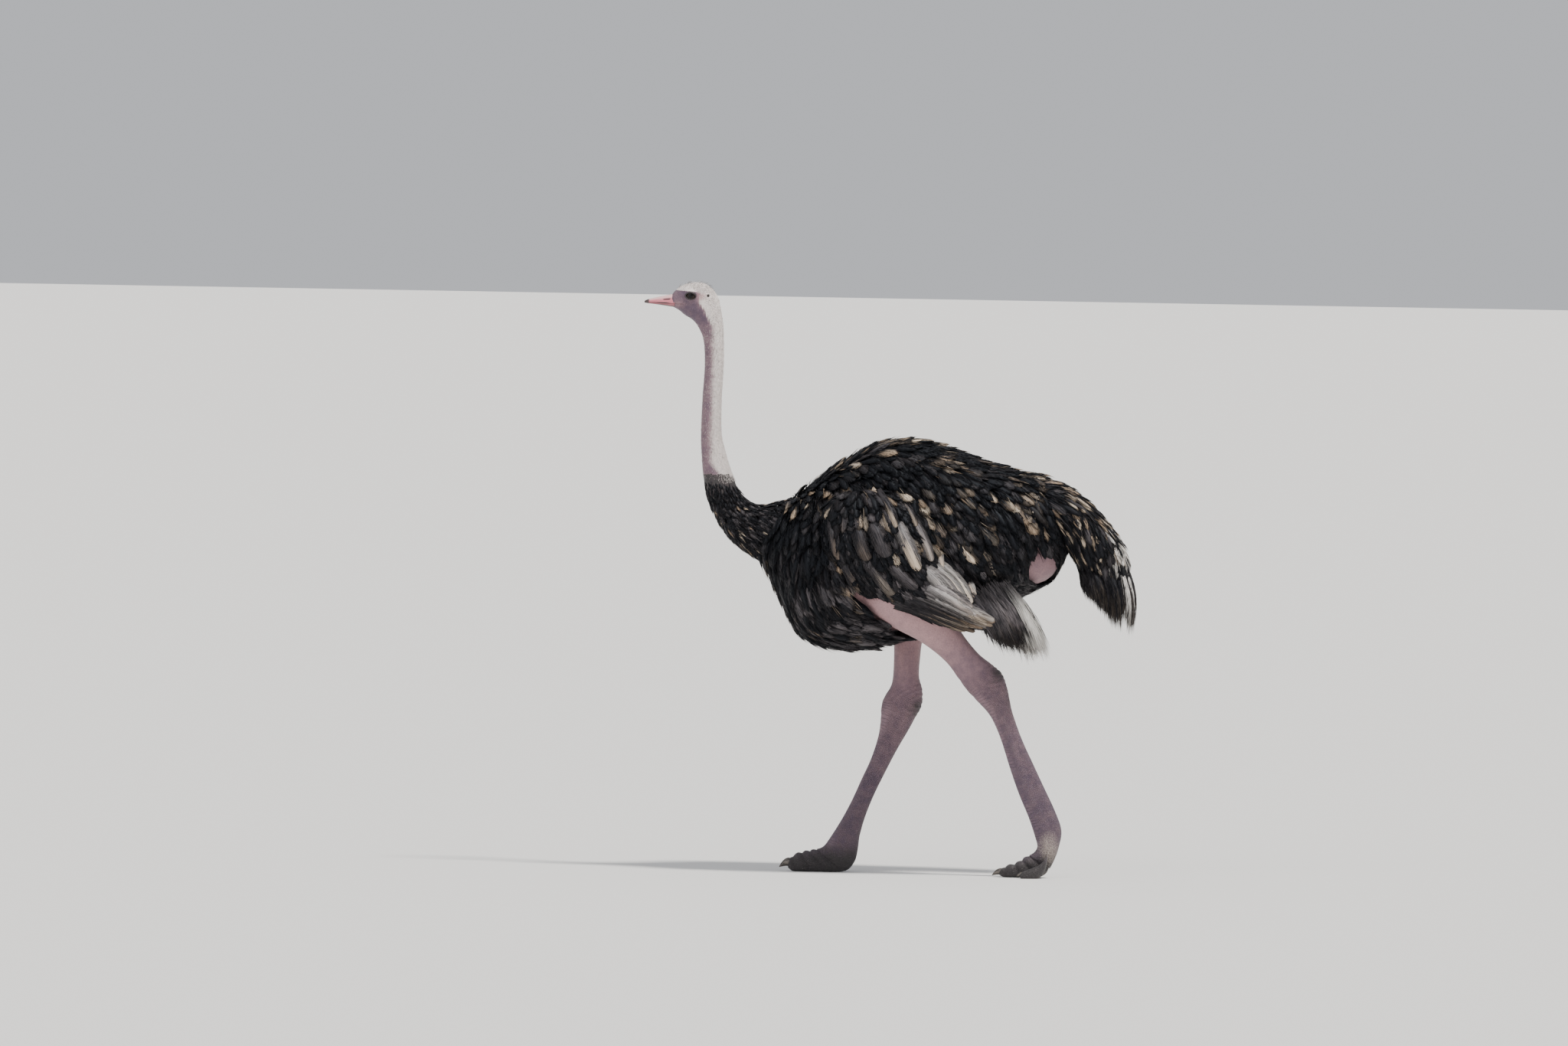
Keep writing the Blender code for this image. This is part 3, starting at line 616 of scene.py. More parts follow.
# ---------------------------------------------------------------- markings, shared by skin and coat
def centre_line(leg, side):
    """Middle points of a leg's ribs, the metres down the leg to each, and the ribs themselves."""
    rows = Tube(leg, side).row(np.linspace(0, 1, 160))
    middle = (rows[:, 0:3] + rows[:, 3:6]) / 2
    steps = np.linalg.norm(np.diff(middle, axis=0), axis=1)
    return middle, np.concatenate([[0], np.cumsum(steps)]), rows


def leg_places(points):
    """For each point the metres down the nearer leg, how far it is from its middle towards its front, as a
    share of its half depth, and whether it is on it."""
    found = np.full(len(points), 9.0)
    down, front, inside = np.zeros(len(points)), np.zeros(len(points)), np.zeros(len(points), bool)
    for leg, side in ((LEFT_LEG, 1), (RIGHT_LEG, -1)):
        middle, metres, rows = centre_line(leg, side)
        for start in range(0, len(points), 20000):
            part = slice(start, start + 20000)
            gap = np.linalg.norm(points[part, None] - middle[None], axis=2)
            near = gap.argmin(1)
            least = gap[np.arange(len(near)), near]
            deep = np.linalg.norm(rows[near, 0:3] - rows[near, 3:6], axis=1) / 2
            ahead = unit(rows[near, 3:6] - rows[near, 0:3])
            share = np.einsum("ij,ij->i", points[part] - middle[near], ahead) / np.maximum(deep, 1e-3)
            better = least < found[part]
            down[part] = np.where(better, metres[near], down[part])
            front[part] = np.where(better, share, front[part])
            inside[part] = np.where(better, least < deep + 0.012, inside[part])
            found[part] = np.minimum(found[part], least)
    return down, front, inside


def hood(points):
    """1 on the black-feathered body and neck base, 0 on the white-downed neck and head."""
    return smooth(1.250, 1.232, points[:, 2] + 0.22 * (points[:, 1] - SHIFT + 0.58))


# How far below the eye, and the Y at which the white down of the cheek and crown begins there.
CHEEK = (
    (-0.024, -0.018, -0.0145, -0.012, -0.004, 0.010, 0.025, 0.042, 0.058, 0.089),
    (-0.790, -0.725, -0.690, -0.655, -0.645, -0.650, -0.647, -0.634, -0.627, -0.612),
)


def white_down(points):
    """How white with down the head and neck are: the crown, the cheek behind the eye and the neck's back."""
    x, y, z = np.abs(points[:, 0]), points[:, 1] - SHIFT, points[:, 2]
    neck_middle = -0.600 + 0.035 * smooth(1.30, 1.24, z) - 0.03 * smooth(1.72, 1.80, z)
    back = smooth(-0.016, 0.022, y - neck_middle)
    neck = 0.25 + 0.75 * back
    drop = EYE.z - z
    cheek = np.interp(drop, *CHEEK)
    head = smooth(-0.007, 0.012, y - cheek + 0.004 * np.sin(x * 900) * np.sin(y * 700))
    head = head * (1 - 0.50 * bump_at(np.stack([y, drop], 1), (-0.638, 0.002), (0.013, 0.010)))
    on_head = smooth(1.722, 1.745, z)
    return (on_head * head + (1 - on_head) * neck) * (1 - hood(points)) * (z > 1.1)


# ---------------------------------------------------------------- skin
# The brow, the hollows before and below the eye, and the cheek: a height, which is below 0 for a hollow,
# a centre (x, y, z) and widths.
HEAD_HILLS = (
    (0.0022, (0.030, -0.684, 1.845), (0.012, 0.018, 0.006)),
    (-0.0022, (0.034, -0.705, 1.817), (0.012, 0.010, 0.008)),
    (-0.0020, (0.038, -0.668, 1.790), (0.012, 0.020, 0.007)),
    (0.0015, (0.036, -0.640, 1.790), (0.014, 0.016, 0.012)),
)


def sculpted_head(points):
    """Moves the points of the head outwards or inwards for its folds: hills and grooves, and at each eye
    a lid that follows the eyeball, with an almond-shaped opening that sinks behind it."""
    p = points.copy()
    side = np.sign(p[:, 0])
    q = np.stack([np.abs(p[:, 0]), p[:, 1] - SHIFT, p[:, 2]], 1)
    away = unit(q - np.array([0.0, -0.660, 1.805]))
    lift = sum(height * bump_at(q, centre, widths) for height, centre, widths in HEAD_HILLS)
    ear = np.hypot(q[:, 1] - EAR_Y, (q[:, 2] - EAR_Z) * 1.15)
    lift += 0.0012 * hill(ear, 0.0072, 0.0022) - 0.0065 * smooth(0.0058, 0.0030, ear)
    line = 1.7985 - 0.10 * (q[:, 1] + 0.7245) - 6.0 * np.maximum(q[:, 1] + 0.700, 0) ** 2
    gape = (q[:, 2] - line) / 0.0011
    reach = smooth(-0.690, -0.702, q[:, 1]) * (q[:, 0] > 0.008)
    lift += reach * (0.0010 * np.exp(-((np.abs(gape) - 2.6) ** 2) / 1.6) - 0.0022 * np.exp(-gape * gape))
    throat = smooth(1.760, 1.735, q[:, 2]) * smooth(1.66, 1.70, q[:, 2])
    lift += 0.0005 * throat * np.sin(q[:, 2] * 620 + q[:, 1] * 300)
    q += away * lift[:, None]
    dy, dz = q[:, 1] + SHIFT - EYE.y, q[:, 2] - EYE.z
    ring = np.hypot(dy, dz)
    radius = EYE_RADIUS + 0.0013
    ball = EYE.x + np.sqrt(np.maximum(radius**2 - ring**2, 0)) - 0.02 * smooth(0.97, 1.05, ring / radius)
    covered = 0.5 * (q[:, 0] + ball + np.sqrt((q[:, 0] - ball) ** 2 + 0.003**2)) - 0.0004
    facing = (q[:, 0] > 0.012) & (ring < radius * 1.05)
    wide = sizes().eye_opening / 2
    almond = np.hypot(dy / wide, (dz + 0.0012 + 0.10 * dy) / (wide * LID_SHAPE))
    rim = 0.0011 * hill(almond, 1.10, 0.12) + 0.0006 * hill(almond, 1.48, 0.10)
    dip = 0.005 * smooth(1.02, 0.80, almond)
    q[:, 0] = np.where(facing, covered + rim - dip, q[:, 0])
    p[:, 0] = np.where(side == 0, 0, side * q[:, 0])
    p[:, 1:] = q[:, 1:] + np.array([SHIFT, 0])
    return p


def spine_points():
    """Rings of the skin from the bill's base to the rump, closest together on the head."""
    sized = sizes()
    ribs = HEAD + NECK + TRUNK[1:] + RUMP_END
    coat = sized.coat_depth
    insets = [0.0004] * len(HEAD)
    insets += [sized.down_depth] * 8 + [0.006, 0.010, 0.016, 0.024]
    insets += [coat] * (len(TRUNK) - 2) + [coat * 0.8] + [coat * 0.5, 0.002]
    tube = Tube(ribs, power=2.15, fullness=0.05, insets=insets)
    last = len(ribs) - 1
    # Where each stretch of rings ends, and the step between its rings, both counted in ribs.
    stretches = ((3.6, 0.05), (5.2, 0.022), (8, 0.05), (16, 0.075), (21, 0.16), (last, 0.25))
    starts = (0, *(end for end, _ in stretches))
    stops = [np.arange(start, end, step) for start, (end, step) in zip(starts, stretches)]
    stops = np.concatenate([*stops, [last]])
    around = np.arange(160) / 160
    # Points gather at the sides, where the eyes are.
    around = around - 0.35 * np.sin(4 * math.pi * around) / (4 * math.pi)
    return tube.at(*np.meshgrid(stops / last, around, indexing="ij"))


def leg_points(leg, side):
    """Rings of a leg's skin from the hip to the tip of the big toe, flat where the sole meets the floor.
    Sines along the leg raise the knuckles and the hock's folds, and hills round it the shank's tendons."""
    columns = 56
    stops = np.concatenate([np.linspace(0, 0.2, 20), np.linspace(0.21, 1.0, 290)])
    points = Tube(leg, side, power=2.25, insets=0.0008).rings(stops, columns)
    middle = (points[:, columns // 4] + points[:, 3 * columns // 4]) / 2
    metres = np.linalg.norm(np.diff(middle, axis=0), axis=1)
    metres = np.concatenate([[0], np.cumsum(metres)])[:, None]
    normal = unit(points - points.mean(1, keepdims=True))
    turn = 2 * math.pi * np.arange(columns)[None] / columns
    back, aside = np.sin(turn), np.abs(np.cos(turn))
    toe = np.clip((metres - metres[-1] + 0.135) / 0.135, 0, 1)
    knuckles = np.abs(np.sin(toe * 3.5 * math.pi)) - 0.65
    sole = smooth(0.02, 0.0, points[..., 2])
    lift = 0.0056 * knuckles * (toe > 0) * (1 - sole)
    from_tip = metres[-1] - metres
    lift -= 0.0060 * hill(from_tip, 0.165, 0.030) * np.clip(-back, 0, 1)
    lift -= 0.0035 * hill(from_tip, 0.128, 0.012) * aside * (1 - sole)
    folds = np.sin(np.hypot(metres - HOCK, FOLD_STRETCH * (1 - back)) * 2 * math.pi / FOLD_PITCH)
    lift += 0.0010 * hill(metres, HOCK, 0.045) * folds
    shank = smooth(0.50, 0.58, metres) * smooth(metres[-1] - 0.20, metres[-1] - 0.26, metres)
    lift += 0.0022 * shank * (hill(back, 0.85, 0.35) - hill(back, 0.30, 0.20))
    drum = smooth(0.20, 0.28, metres) * smooth(0.44, 0.36, metres)
    lift -= 0.0022 * drum * hill(back, 0.45, 0.22) * aside
    points += normal * lift[..., None]
    points[..., 2] = np.maximum(points[..., 2], FLOOR)
    return points


def toe_points(line):
    """Rings of a small toe. Its sole lies a hair above the leg's, so that the union meets no shared plane."""
    points = Tube(toe_ribs(line), power=2.3, insets=0.0006).rings(np.linspace(0, 1, 60), 36)
    points[..., 2] = np.maximum(points[..., 2], FLOOR + 0.0001)
    return points


def united(body, others):
    """The body with the others joined on by exact unions, as one mesh."""
    for other in others:
        join = body.modifiers.new(other.name, "BOOLEAN")
        join.operation, join.solver, join.object = "UNION", "EXACT", other
    graph = bpy.context.evaluated_depsgraph_get()
    mesh = bpy.data.meshes.new_from_object(body.evaluated_get(graph))
    for other in others:
        bpy.data.objects.remove(other, do_unlink=True)
    bpy.data.objects.remove(body, do_unlink=True)
    return mesh


def points_of(mesh):
    """The points of a mesh as an array with a row for each."""
    points = np.empty(len(mesh.vertices) * 3, np.float32)
    mesh.vertices.foreach_get("co", points)
    return points.reshape(-1, 3).astype(float)


class OSTRICH_OT_skin(bpy.types.Operator):
    """One skin over head, neck, trunk and legs"""

    bl_idname = "ostrich.skin"
    bl_label = "Skin"

    def execute(self, context):
        blank = bpy.data.materials.new("blank")
        points, faces = grid(spine_points())
        on_head = points[:, 2] > 1.62
        points[on_head] = sculpted_head(points[on_head])
        rump = np.stack([np.abs(points[:, 0]), points[:, 1] - SHIFT, points[:, 2]], 1)
        bald = bump_at(rump, (0.10, 0.462, 0.960), (0.09, 0.050, 0.045))
        points += unit(points - np.array([0, 0.40 + SHIFT, 1.10])) * (0.022 * bald)[:, None]
        body = new_piece("spine", points, faces, "skin", blank)
        limbs = (
            ("leg_left", leg_points(LEFT_LEG, 1)),
            ("leg_right", leg_points(RIGHT_LEG, -1)),
            ("toe_left", toe_points(LEFT_TOE)),
            ("toe_right", toe_points(RIGHT_TOE)),
        )
        mesh = united(body, [new_piece(name, *grid(rings), "skin", blank) for name, rings in limbs])
        piece = placed("skin", mesh, skin_finish())
        flesh = ["head", "neck_upper", "neck_middle", "neck_lower", "trunk"]
        for word in ("left", "right"):
            flesh += [n + word for n in ("thigh_", "hock_", "shank_", "toe_big_", "toe_small_")]
        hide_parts(*flesh)
        self.mark(piece, points_of(mesh))
        return {"FINISHED"}

    def mark(self, piece, points):
        """Stores the zones: face, neck and shanks are mauve, thighs and the skin behind the eye pink, the
        toes and the pad behind the hock horny, and the feet dusty. The horn's dark colour also stands for
        painted shade: in the ear's opening, in the hock's creases, round the eyes past the lids' own dark
        skin, and on the body's skin under the coat, all but the bald patch of the rump."""
        x, y, z = np.abs(points[:, 0]), points[:, 1] - SHIFT, points[:, 2]
        down, front, on_leg = leg_places(points)
        on_leg &= z < 1.0
        body = (z > 0.60) & (z < 1.26) & ~on_leg
        white = white_down(points)
        pink = np.where(z > 1.2, 0.06 + 0.6 * white, 0.0)
        q = np.stack([x, y, z], 1)
        pink = pink + 0.7 * bump_at(q, (0.036, -0.637, 1.822), (0.02, 0.012, 0.009)) * (z > 1.6)
        pink = pink + 0.4 * bump_at(q, (0.030, -0.715, 1.797), (0.02, 0.012, 0.008)) * (z > 1.6)
        leg_pink = 0.80 - 0.52 * smooth(0.20, 0.44, down) - 0.22 * smooth(0.50, 0.80, down)
        pink = np.where(on_leg, leg_pink, pink)
        # The bare skin of the body is only half pink: its own mauve-pink, darkened as painted shade of the
        # rump's bald patch.
        pink = np.where(body, 0.50, pink)
        hock = bump_at(np.stack([down, front], 1), (0.478, -1.05), (0.020, 0.45))
        # Dark lines in the troughs of the hock's folds: painted shade in the creases.
        ring = np.hypot(down - HOCK, FOLD_STRETCH * (1 + front))
        crease_shade = smooth(0.2, 0.9, -np.sin(ring * 2 * math.pi / FOLD_PITCH))
        crease_shade = crease_shade * bump_at(ring[:, None], (0.03,), (0.022,))
        toes = 0.60 * smooth(0.11, 0.030, z) + 0.22 * smooth(0.42, 0.10, z) + 0.06 * smooth(0.70, 0.50, z)
        horn_and_shade = np.where(on_leg | (z < 0.12), np.clip(toes + 0.75 * hock + 0.15 * crease_shade, 0, 1), 0.0)
        # Round each eye: the lids' own dark skin, widened by a soft halo of painted shade under the brow.
        eye_edge = np.hypot(y + SHIFT - EYE.y, (z - EYE.z) * 1.4) / 0.0165
        horn_and_shade = np.where(z > 1.7, 0.85 * smooth(1.35, 1.0, eye_edge) * (x > 0.02), horn_and_shade)
        # The ear's opening is painted dark: painted shade inside its hollow.
        ear = np.hypot(y - EAR_Y, z - EAR_Z)
        horn_and_shade = np.where(z > 1.7, np.maximum(horn_and_shade, 0.9 * smooth(0.0062, 0.0042, ear) * (x > 0.015)), horn_and_shade)
        # The body's skin under the coat, all but the rump's bald patch, is painted dark: painted shade under
        # the feathers.
        horn_and_shade = np.where(body & (bump_at(q, (0.10, 0.458, 0.960), (0.09, 0.060, 0.05)) < 0.12), 0.85, horn_and_shade)
        scutes = smooth(0.15, 0.75, front) * smooth(0.44, 0.50, down) * on_leg
        dusty = bump_at(q, (0.085, 0.49, 0.10), (0.05, 0.035, 0.06)) * 0.75 + 0.35 * smooth(0.035, 0.0, z)
        give(piece, "zone", np.stack([np.clip(pink, 0, 1), white, horn_and_shade], 1))
        give(piece, "leg", np.stack([down, scutes, dusty], 1))


# ---------------------------------------------------------------- bill, eyes, claws
class OSTRICH_OT_bill(bpy.types.Operator):
    """The flat bill, as an upper and a lower half with nostrils and a nail at its tip"""

    bl_idname = "ostrich.bill"
    bl_label = "Bill"

    def execute(self, context):
        finish = bill_finish()
        for name, upper in (("upper", True), ("lower", False)):
            points, tone = self.half(upper)
            piece = new_piece("bill_horn_" + name, *grid(points), "bill", finish)
            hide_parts("bill_" + name)
            give(piece, "tone", tone)
        return {"FINISHED"}

    def half(self, upper):
        """Rings from the tip back: half a superellipse over a nearly flat mouth side. Width and height
        grow as powers of the share of the bill's length, and a nostril slit sinks into each side."""
        share = np.concatenate([[0.0, 0.004, 0.014, 0.03], np.linspace(0.05, 1, 56)])
        turn = np.linspace(0, 2 * math.pi, 72, endpoint=False)
        share, turn = np.meshgrid(share, turn, indexing="ij")
        y = BILL_TIP_Y + share * (BILL_BASE_Y - BILL_TIP_Y)
        mouth = MOUTH_Z - 0.003 * share
        width = 0.0250 * share**0.30 * (0.60 + 0.40 * share)
        above = np.maximum(0.0115 * share**0.22 + 0.0195 * share, 1e-5)
        below = np.maximum(0.0048 * share**0.30 + 0.0064 * share**1.6, 1e-5)
        c, s = rounded(turn, 2.4)
        if upper:
            z = mouth + 0.0002 + np.where(s > 0, above * s, 0.0010 * s * (1 - share))
            x = width * c
            nostril = np.exp(-(((share - 0.74) / 0.150) ** 4) - (((z - mouth) / above - 0.50) / 0.11) ** 2)
            nostril = nostril * (np.abs(c) > 0.3)
            x = x * (1 - 0.16 * nostril)
        else:
            z = mouth - 0.0004 + np.where(s < 0, below * s, 0.0004 * s)
            x = width * 0.95 * c
            nostril = 0 * share
        height = np.abs(z - mouth) / (above if upper else below)
        # The dark line along the mouth's edge is painted shade of the gape between the two halves; the dark
        # tip is the horn's own colour.
        edge = smooth(0.22, 0.04, height)
        dark = np.maximum(smooth(0.20, 0.11, share), edge * smooth(1.05, 0.65, share) * 0.9)
        if not upper:
            dark = np.maximum(dark, 0.42 + 0.35 * smooth(0.4, 0.9, height))
        # The upper bill pales towards its top: painted light from above.
        pale = smooth(0.45, 0.85, height) * (1.0 if upper else 0.0)
        # The third tone darkens the nostril: painted shade in its hollow.
        return np.stack([x, y + SHIFT, z], -1), np.stack([dark, pale, 0.95 * smooth(0.35, 0.8, nostril)], -1)


class OSTRICH_OT_eyes(bpy.types.Operator):
    """The two large dark eyes, with their lashes"""

    bl_idname = "ostrich.eyes"
    bl_label = "Eyes"

    def execute(self, context):
        finish, lash_finish = eye_finish(), down_finish()
        for word, side in (("left", 1), ("right", -1)):
            self.ball(word, side, finish)
            self.lashes(word, side, lash_finish)
        return {"FINISHED"}

    def ball(self, word, side, finish):
        """A sphere whose rings run from the pupil back: a ring's radius is the sine of its angle. The
        cornea bulges a little over the iris."""
        turn = np.arange(64) / 64 * 2 * math.pi
        angle, turn = np.meshgrid(np.linspace(0.02, math.pi - 0.02, 64), turn, indexing="ij")
        radius = (EYE_RADIUS - 0.0007) * (1 + 0.035 * np.exp(-((angle / 0.5) ** 4)))
        out, wide = np.cos(angle) * radius, np.sin(angle) * radius
        points = np.stack([side * out, wide * np.cos(turn), wide * np.sin(turn)], -1)
        points = points + np.array([side * EYE.x, EYE.y, EYE.z])
        piece = new_piece("eyeball_" + word, *grid(points), "eye", finish)
        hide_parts("eye_" + word)
        give(piece, "tone", np.stack([angle, turn, 0 * angle], -1))

    def lashes(self, word, side, finish):
        """Bristles along the upper lid, each a thin cone that bends down and out from its root."""
        share = np.linspace(-1, 1, 34)
        wide = sizes().eye_opening / 2
        y = EYE.y + share * wide * 1.02
        z = EYE.z - 0.0012 + wide * LID_SHAPE * 1.12 * np.sqrt(np.maximum(1 - (share * 0.97) ** 2, 0.02))
        ring = np.hypot(y - EYE.y, z - EYE.z)
        x = EYE.x + np.sqrt(np.maximum((EYE_RADIUS + 0.0012) ** 2 - ring**2, 0))
        roots = np.stack([x, y, z], 1)
        out = unit(np.stack([0.9 + 0 * y, 0.9 * share, 0.35 + 0 * y], 1))
        steps = np.linspace(0, 1, 5)[None, :, None]
        droop = np.array([0.25, 0.0, -0.65]) * 0.6
        line = roots[:, None] + 0.0075 * (out[:, None] * steps + droop * steps**2)
        across = unit(np.cross(out, np.array([0.0, 0.6, 0.8])))[:, None] + 0 * line
        coat = Coat(line, across, np.stack([share, share], 1), 7)
        coat.grow("lashes_" + word, "wisp", 0.0006, (1.0, 0.0, 0.0), 0.0004, "down", finish, side < 0, 0.0)


class OSTRICH_OT_claws(bpy.types.Operator):
    """The blunt nail on each toe"""

    bl_idname = "ostrich.claws"
    bl_label = "Claws"

    def execute(self, context):
        """Each nail is a round cone along a line that bows as a parabola, and thins as powers of the share
        of its length."""
        finish = claw_finish()
        turn = np.arange(28) / 28 * 2 * math.pi
        share, turn = np.meshgrid(np.linspace(0, 1, 24), turn, indexing="ij")
        for node in ("claw_big_left", "claw_big_right", "claw_small_left", "claw_small_right"):
            low, high = (np.array(v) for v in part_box(node))
            x, tall = (low[0] + high[0]) / 2, high[2] - low[2]
            root = np.array([x, high[1], (low[2] + high[2]) / 2 + 0.1 * tall])
            tip = np.array([x, low[1] + 0.001, low[2] + 0.0035])
            bow = np.array([0, 0, 0.22 * tall])
            line = root + (tip - root) * share[..., None] + bow * (4 * share * (1 - share))[..., None]
            size = 0.46 * tall * (1 - share**2.2 * 0.74) * np.sqrt(1 - share**8 * 0.9)
            points = line + np.stack([size * 0.95 * np.cos(turn), 0 * turn, size * np.sin(turn)], -1)
            points[..., 2] = np.maximum(points[..., 2], FLOOR)
            piece = new_piece(node.replace("claw", "nail"), *grid(points), "claw", finish)
            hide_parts(node)
        return {"FINISHED"}


# ---------------------------------------------------------------- feathers
def tube_faces(rows, first=0):
    """Triangles of a three-sided tube of rings that ends in a point, numbered from first."""
    found = [(0, 2, 1)]
    for i in range(rows - 1):
        for j in range(3):
            a, b = 3 * i + j, 3 * i + (j + 1) % 3
            found += [(a, b, b + 3), (a, b + 3, a + 3)]
    last = 3 * (rows - 1)
    found += [(last + j, last + (j + 1) % 3, 3 * rows) for j in range(3)]
    return np.array(found) + first


def blade(middle, half, high):
    """A closed three-sided blade along a middle line (across, along, height): its rings are a left and a
    right edge and a keel, and the line's last point is its tip."""
    rings = np.repeat(middle[:-1, None], 3, 1)
    rings[:, 0, 0] -= half
    rings[:, 1, 0] += half
    rings[:, 2, 2] += high
    return np.vstack([rings.reshape(-1, 3), middle[-1:]])


# Rows of a vane as (along, half width), then the number, reach and half width of its fringe's spikes,
# how far down the vane's edges they start, or how far a kind with no vane spreads, and their steps.
LEAF = ((0.0, 0.26), (0.30, 0.84), (0.66, 0.96), (0.90, 0.56))


def long_leaf(a):
    """A row of a long leaf: its half width swells as a sine's power, and its tip is a quarter ellipse."""
    swell = 0.30 + 0.70 * math.sin(math.pi * (0.10 + 0.50 * a)) ** 0.7
    return a, swell * math.sqrt(1 - max(a - 0.68, 0) ** 2 / 0.1089)


LONG_LEAF = tuple(long_leaf(a) for a in (*np.linspace(0, 0.80, 8), 0.86, 0.91, 0.95, 0.98))
KINDS = {
    "contour": (LEAF, 9, 0.10, 0.085, 0.46, 1),
    "short": (LEAF[::2], 3, 0.16, 0.24, 0.30, 1),
    "shag": ((), 5, 0.34, 0.27, 0.70, 2),
    "wisp": ((), 1, 0.20, 0.80, 0.00, 2),
    "flight": (LONG_LEAF, 24, 0.030, 0.050, 0.70, 1),
    "soft": ((), 44, 0.34, 0.055, 0.85, 3),
}
TEMPLATES = 6  # how many templates of each kind there are
PLASTIC_STEPS = 0.7548776662, 0.5698402910  # 1 over the plastic number, and 1 over its square


def template(kind, seed):
    """One feather on its own ruler: across from -1 to 1, along from 0 to 1 and a height, with triangles.

    A vane is a leaf with a low keel. Spikes of its fringe start inside it and end beyond its edge, so
    that the edge is torn. A kind with no vane is only locks that spread from its root."""
    rng = np.random.default_rng(seed)
    rows, spikes, reach, thin, spread, steps = KINDS[kind]
    points, faces, count = [], [], 0
    if rows:
        along, width = np.array(rows).T
        width = width * (1 + rng.uniform(-0.08, 0.08, len(width)))
        middle = np.stack([0 * along, along, 0 * along], 1)
        middle = np.vstack([middle, [[0, 1.0, 0]]])
        points.append(blade(middle, width, 1 - 0.6 * along))
        faces.append(tube_faces(len(rows)))
        count = len(points[0])
    for k in range(spikes):
        share = (k + 0.5) / spikes * 2 - 1 + rng.uniform(-0.4, 0.4) / spikes
        if rows:
            place = 1 - spread * abs(share) ** 1.4
            edge = np.sign(share) * np.interp(place, (*along, 1.0), (*width, 0.1))
            start = np.array([0.62 * edge, place - 0.12, 0.25])
            end = np.array([edge + 0.14 * share, place + reach * rng.uniform(0.3, 1.3), 0.0])
        else:
            low = rng.uniform(0.0, 0.12 if spikes < 9 else 0.45)
            start = np.array([share * 0.42, low, rng.uniform(-0.5, 0.5)])
            end = np.array([share * (0.55 + spread), 1.0 - reach * rng.random() - 0.10 * share**2, 0.0])
        end[2] = rng.uniform(-1.2, 1.2)
        t = np.linspace(0, 1, steps + 1)[:, None]
        middle = start + (end - start) * t
        middle[:, 0] += share * 0.10 * np.sin(math.pi * t[:, 0])
        taper = thin * np.array([0.85, 1.0, 0.8])[:steps] * rng.uniform(0.8, 1.2)
        points.append(blade(middle, taper, 0.85))
        faces.append(tube_faces(steps, count))
        count += len(points[-1])
    return np.vstack(points), np.vstack(faces)


def numbered_on(points, faces):
    """Many copies of one template as a single mesh: the triangles are numbered on from copy to copy."""
    many, each = points.shape[:2]
    steps = (np.arange(many) * each)[:, None, None]
    return points.reshape(-1, 3), (faces[None] + steps).reshape(-1, 3)


def scattered(tube, spacing, seed, low=0.0, high=1.0):
    """Roots u, v over a tube, evenly by area: a sequence that steps by the plastic number, thinned where
    the surface is denser in u and v."""
    gu, gv = np.meshgrid(np.linspace(low, high, 80), np.linspace(0, 1, 96, endpoint=False), indexing="ij")
    _, along, round_, _ = tube.frame(gu, gv)
    most = np.linalg.norm(np.cross(along, round_), axis=-1).max()
    index = np.arange(int(most * (high - low) / spacing**2)) + seed
    u = low + (high - low) * ((index * PLASTIC_STEPS[0] + 0.31) % 1)
    v = (index * PLASTIC_STEPS[1] + 0.17) % 1
    _, along, round_, _ = tube.frame(u, v)
    share = np.linalg.norm(np.cross(along, round_), axis=-1) / most
    kept = np.random.default_rng(seed).random(len(index)) < share
    return u[kept], v[kept]


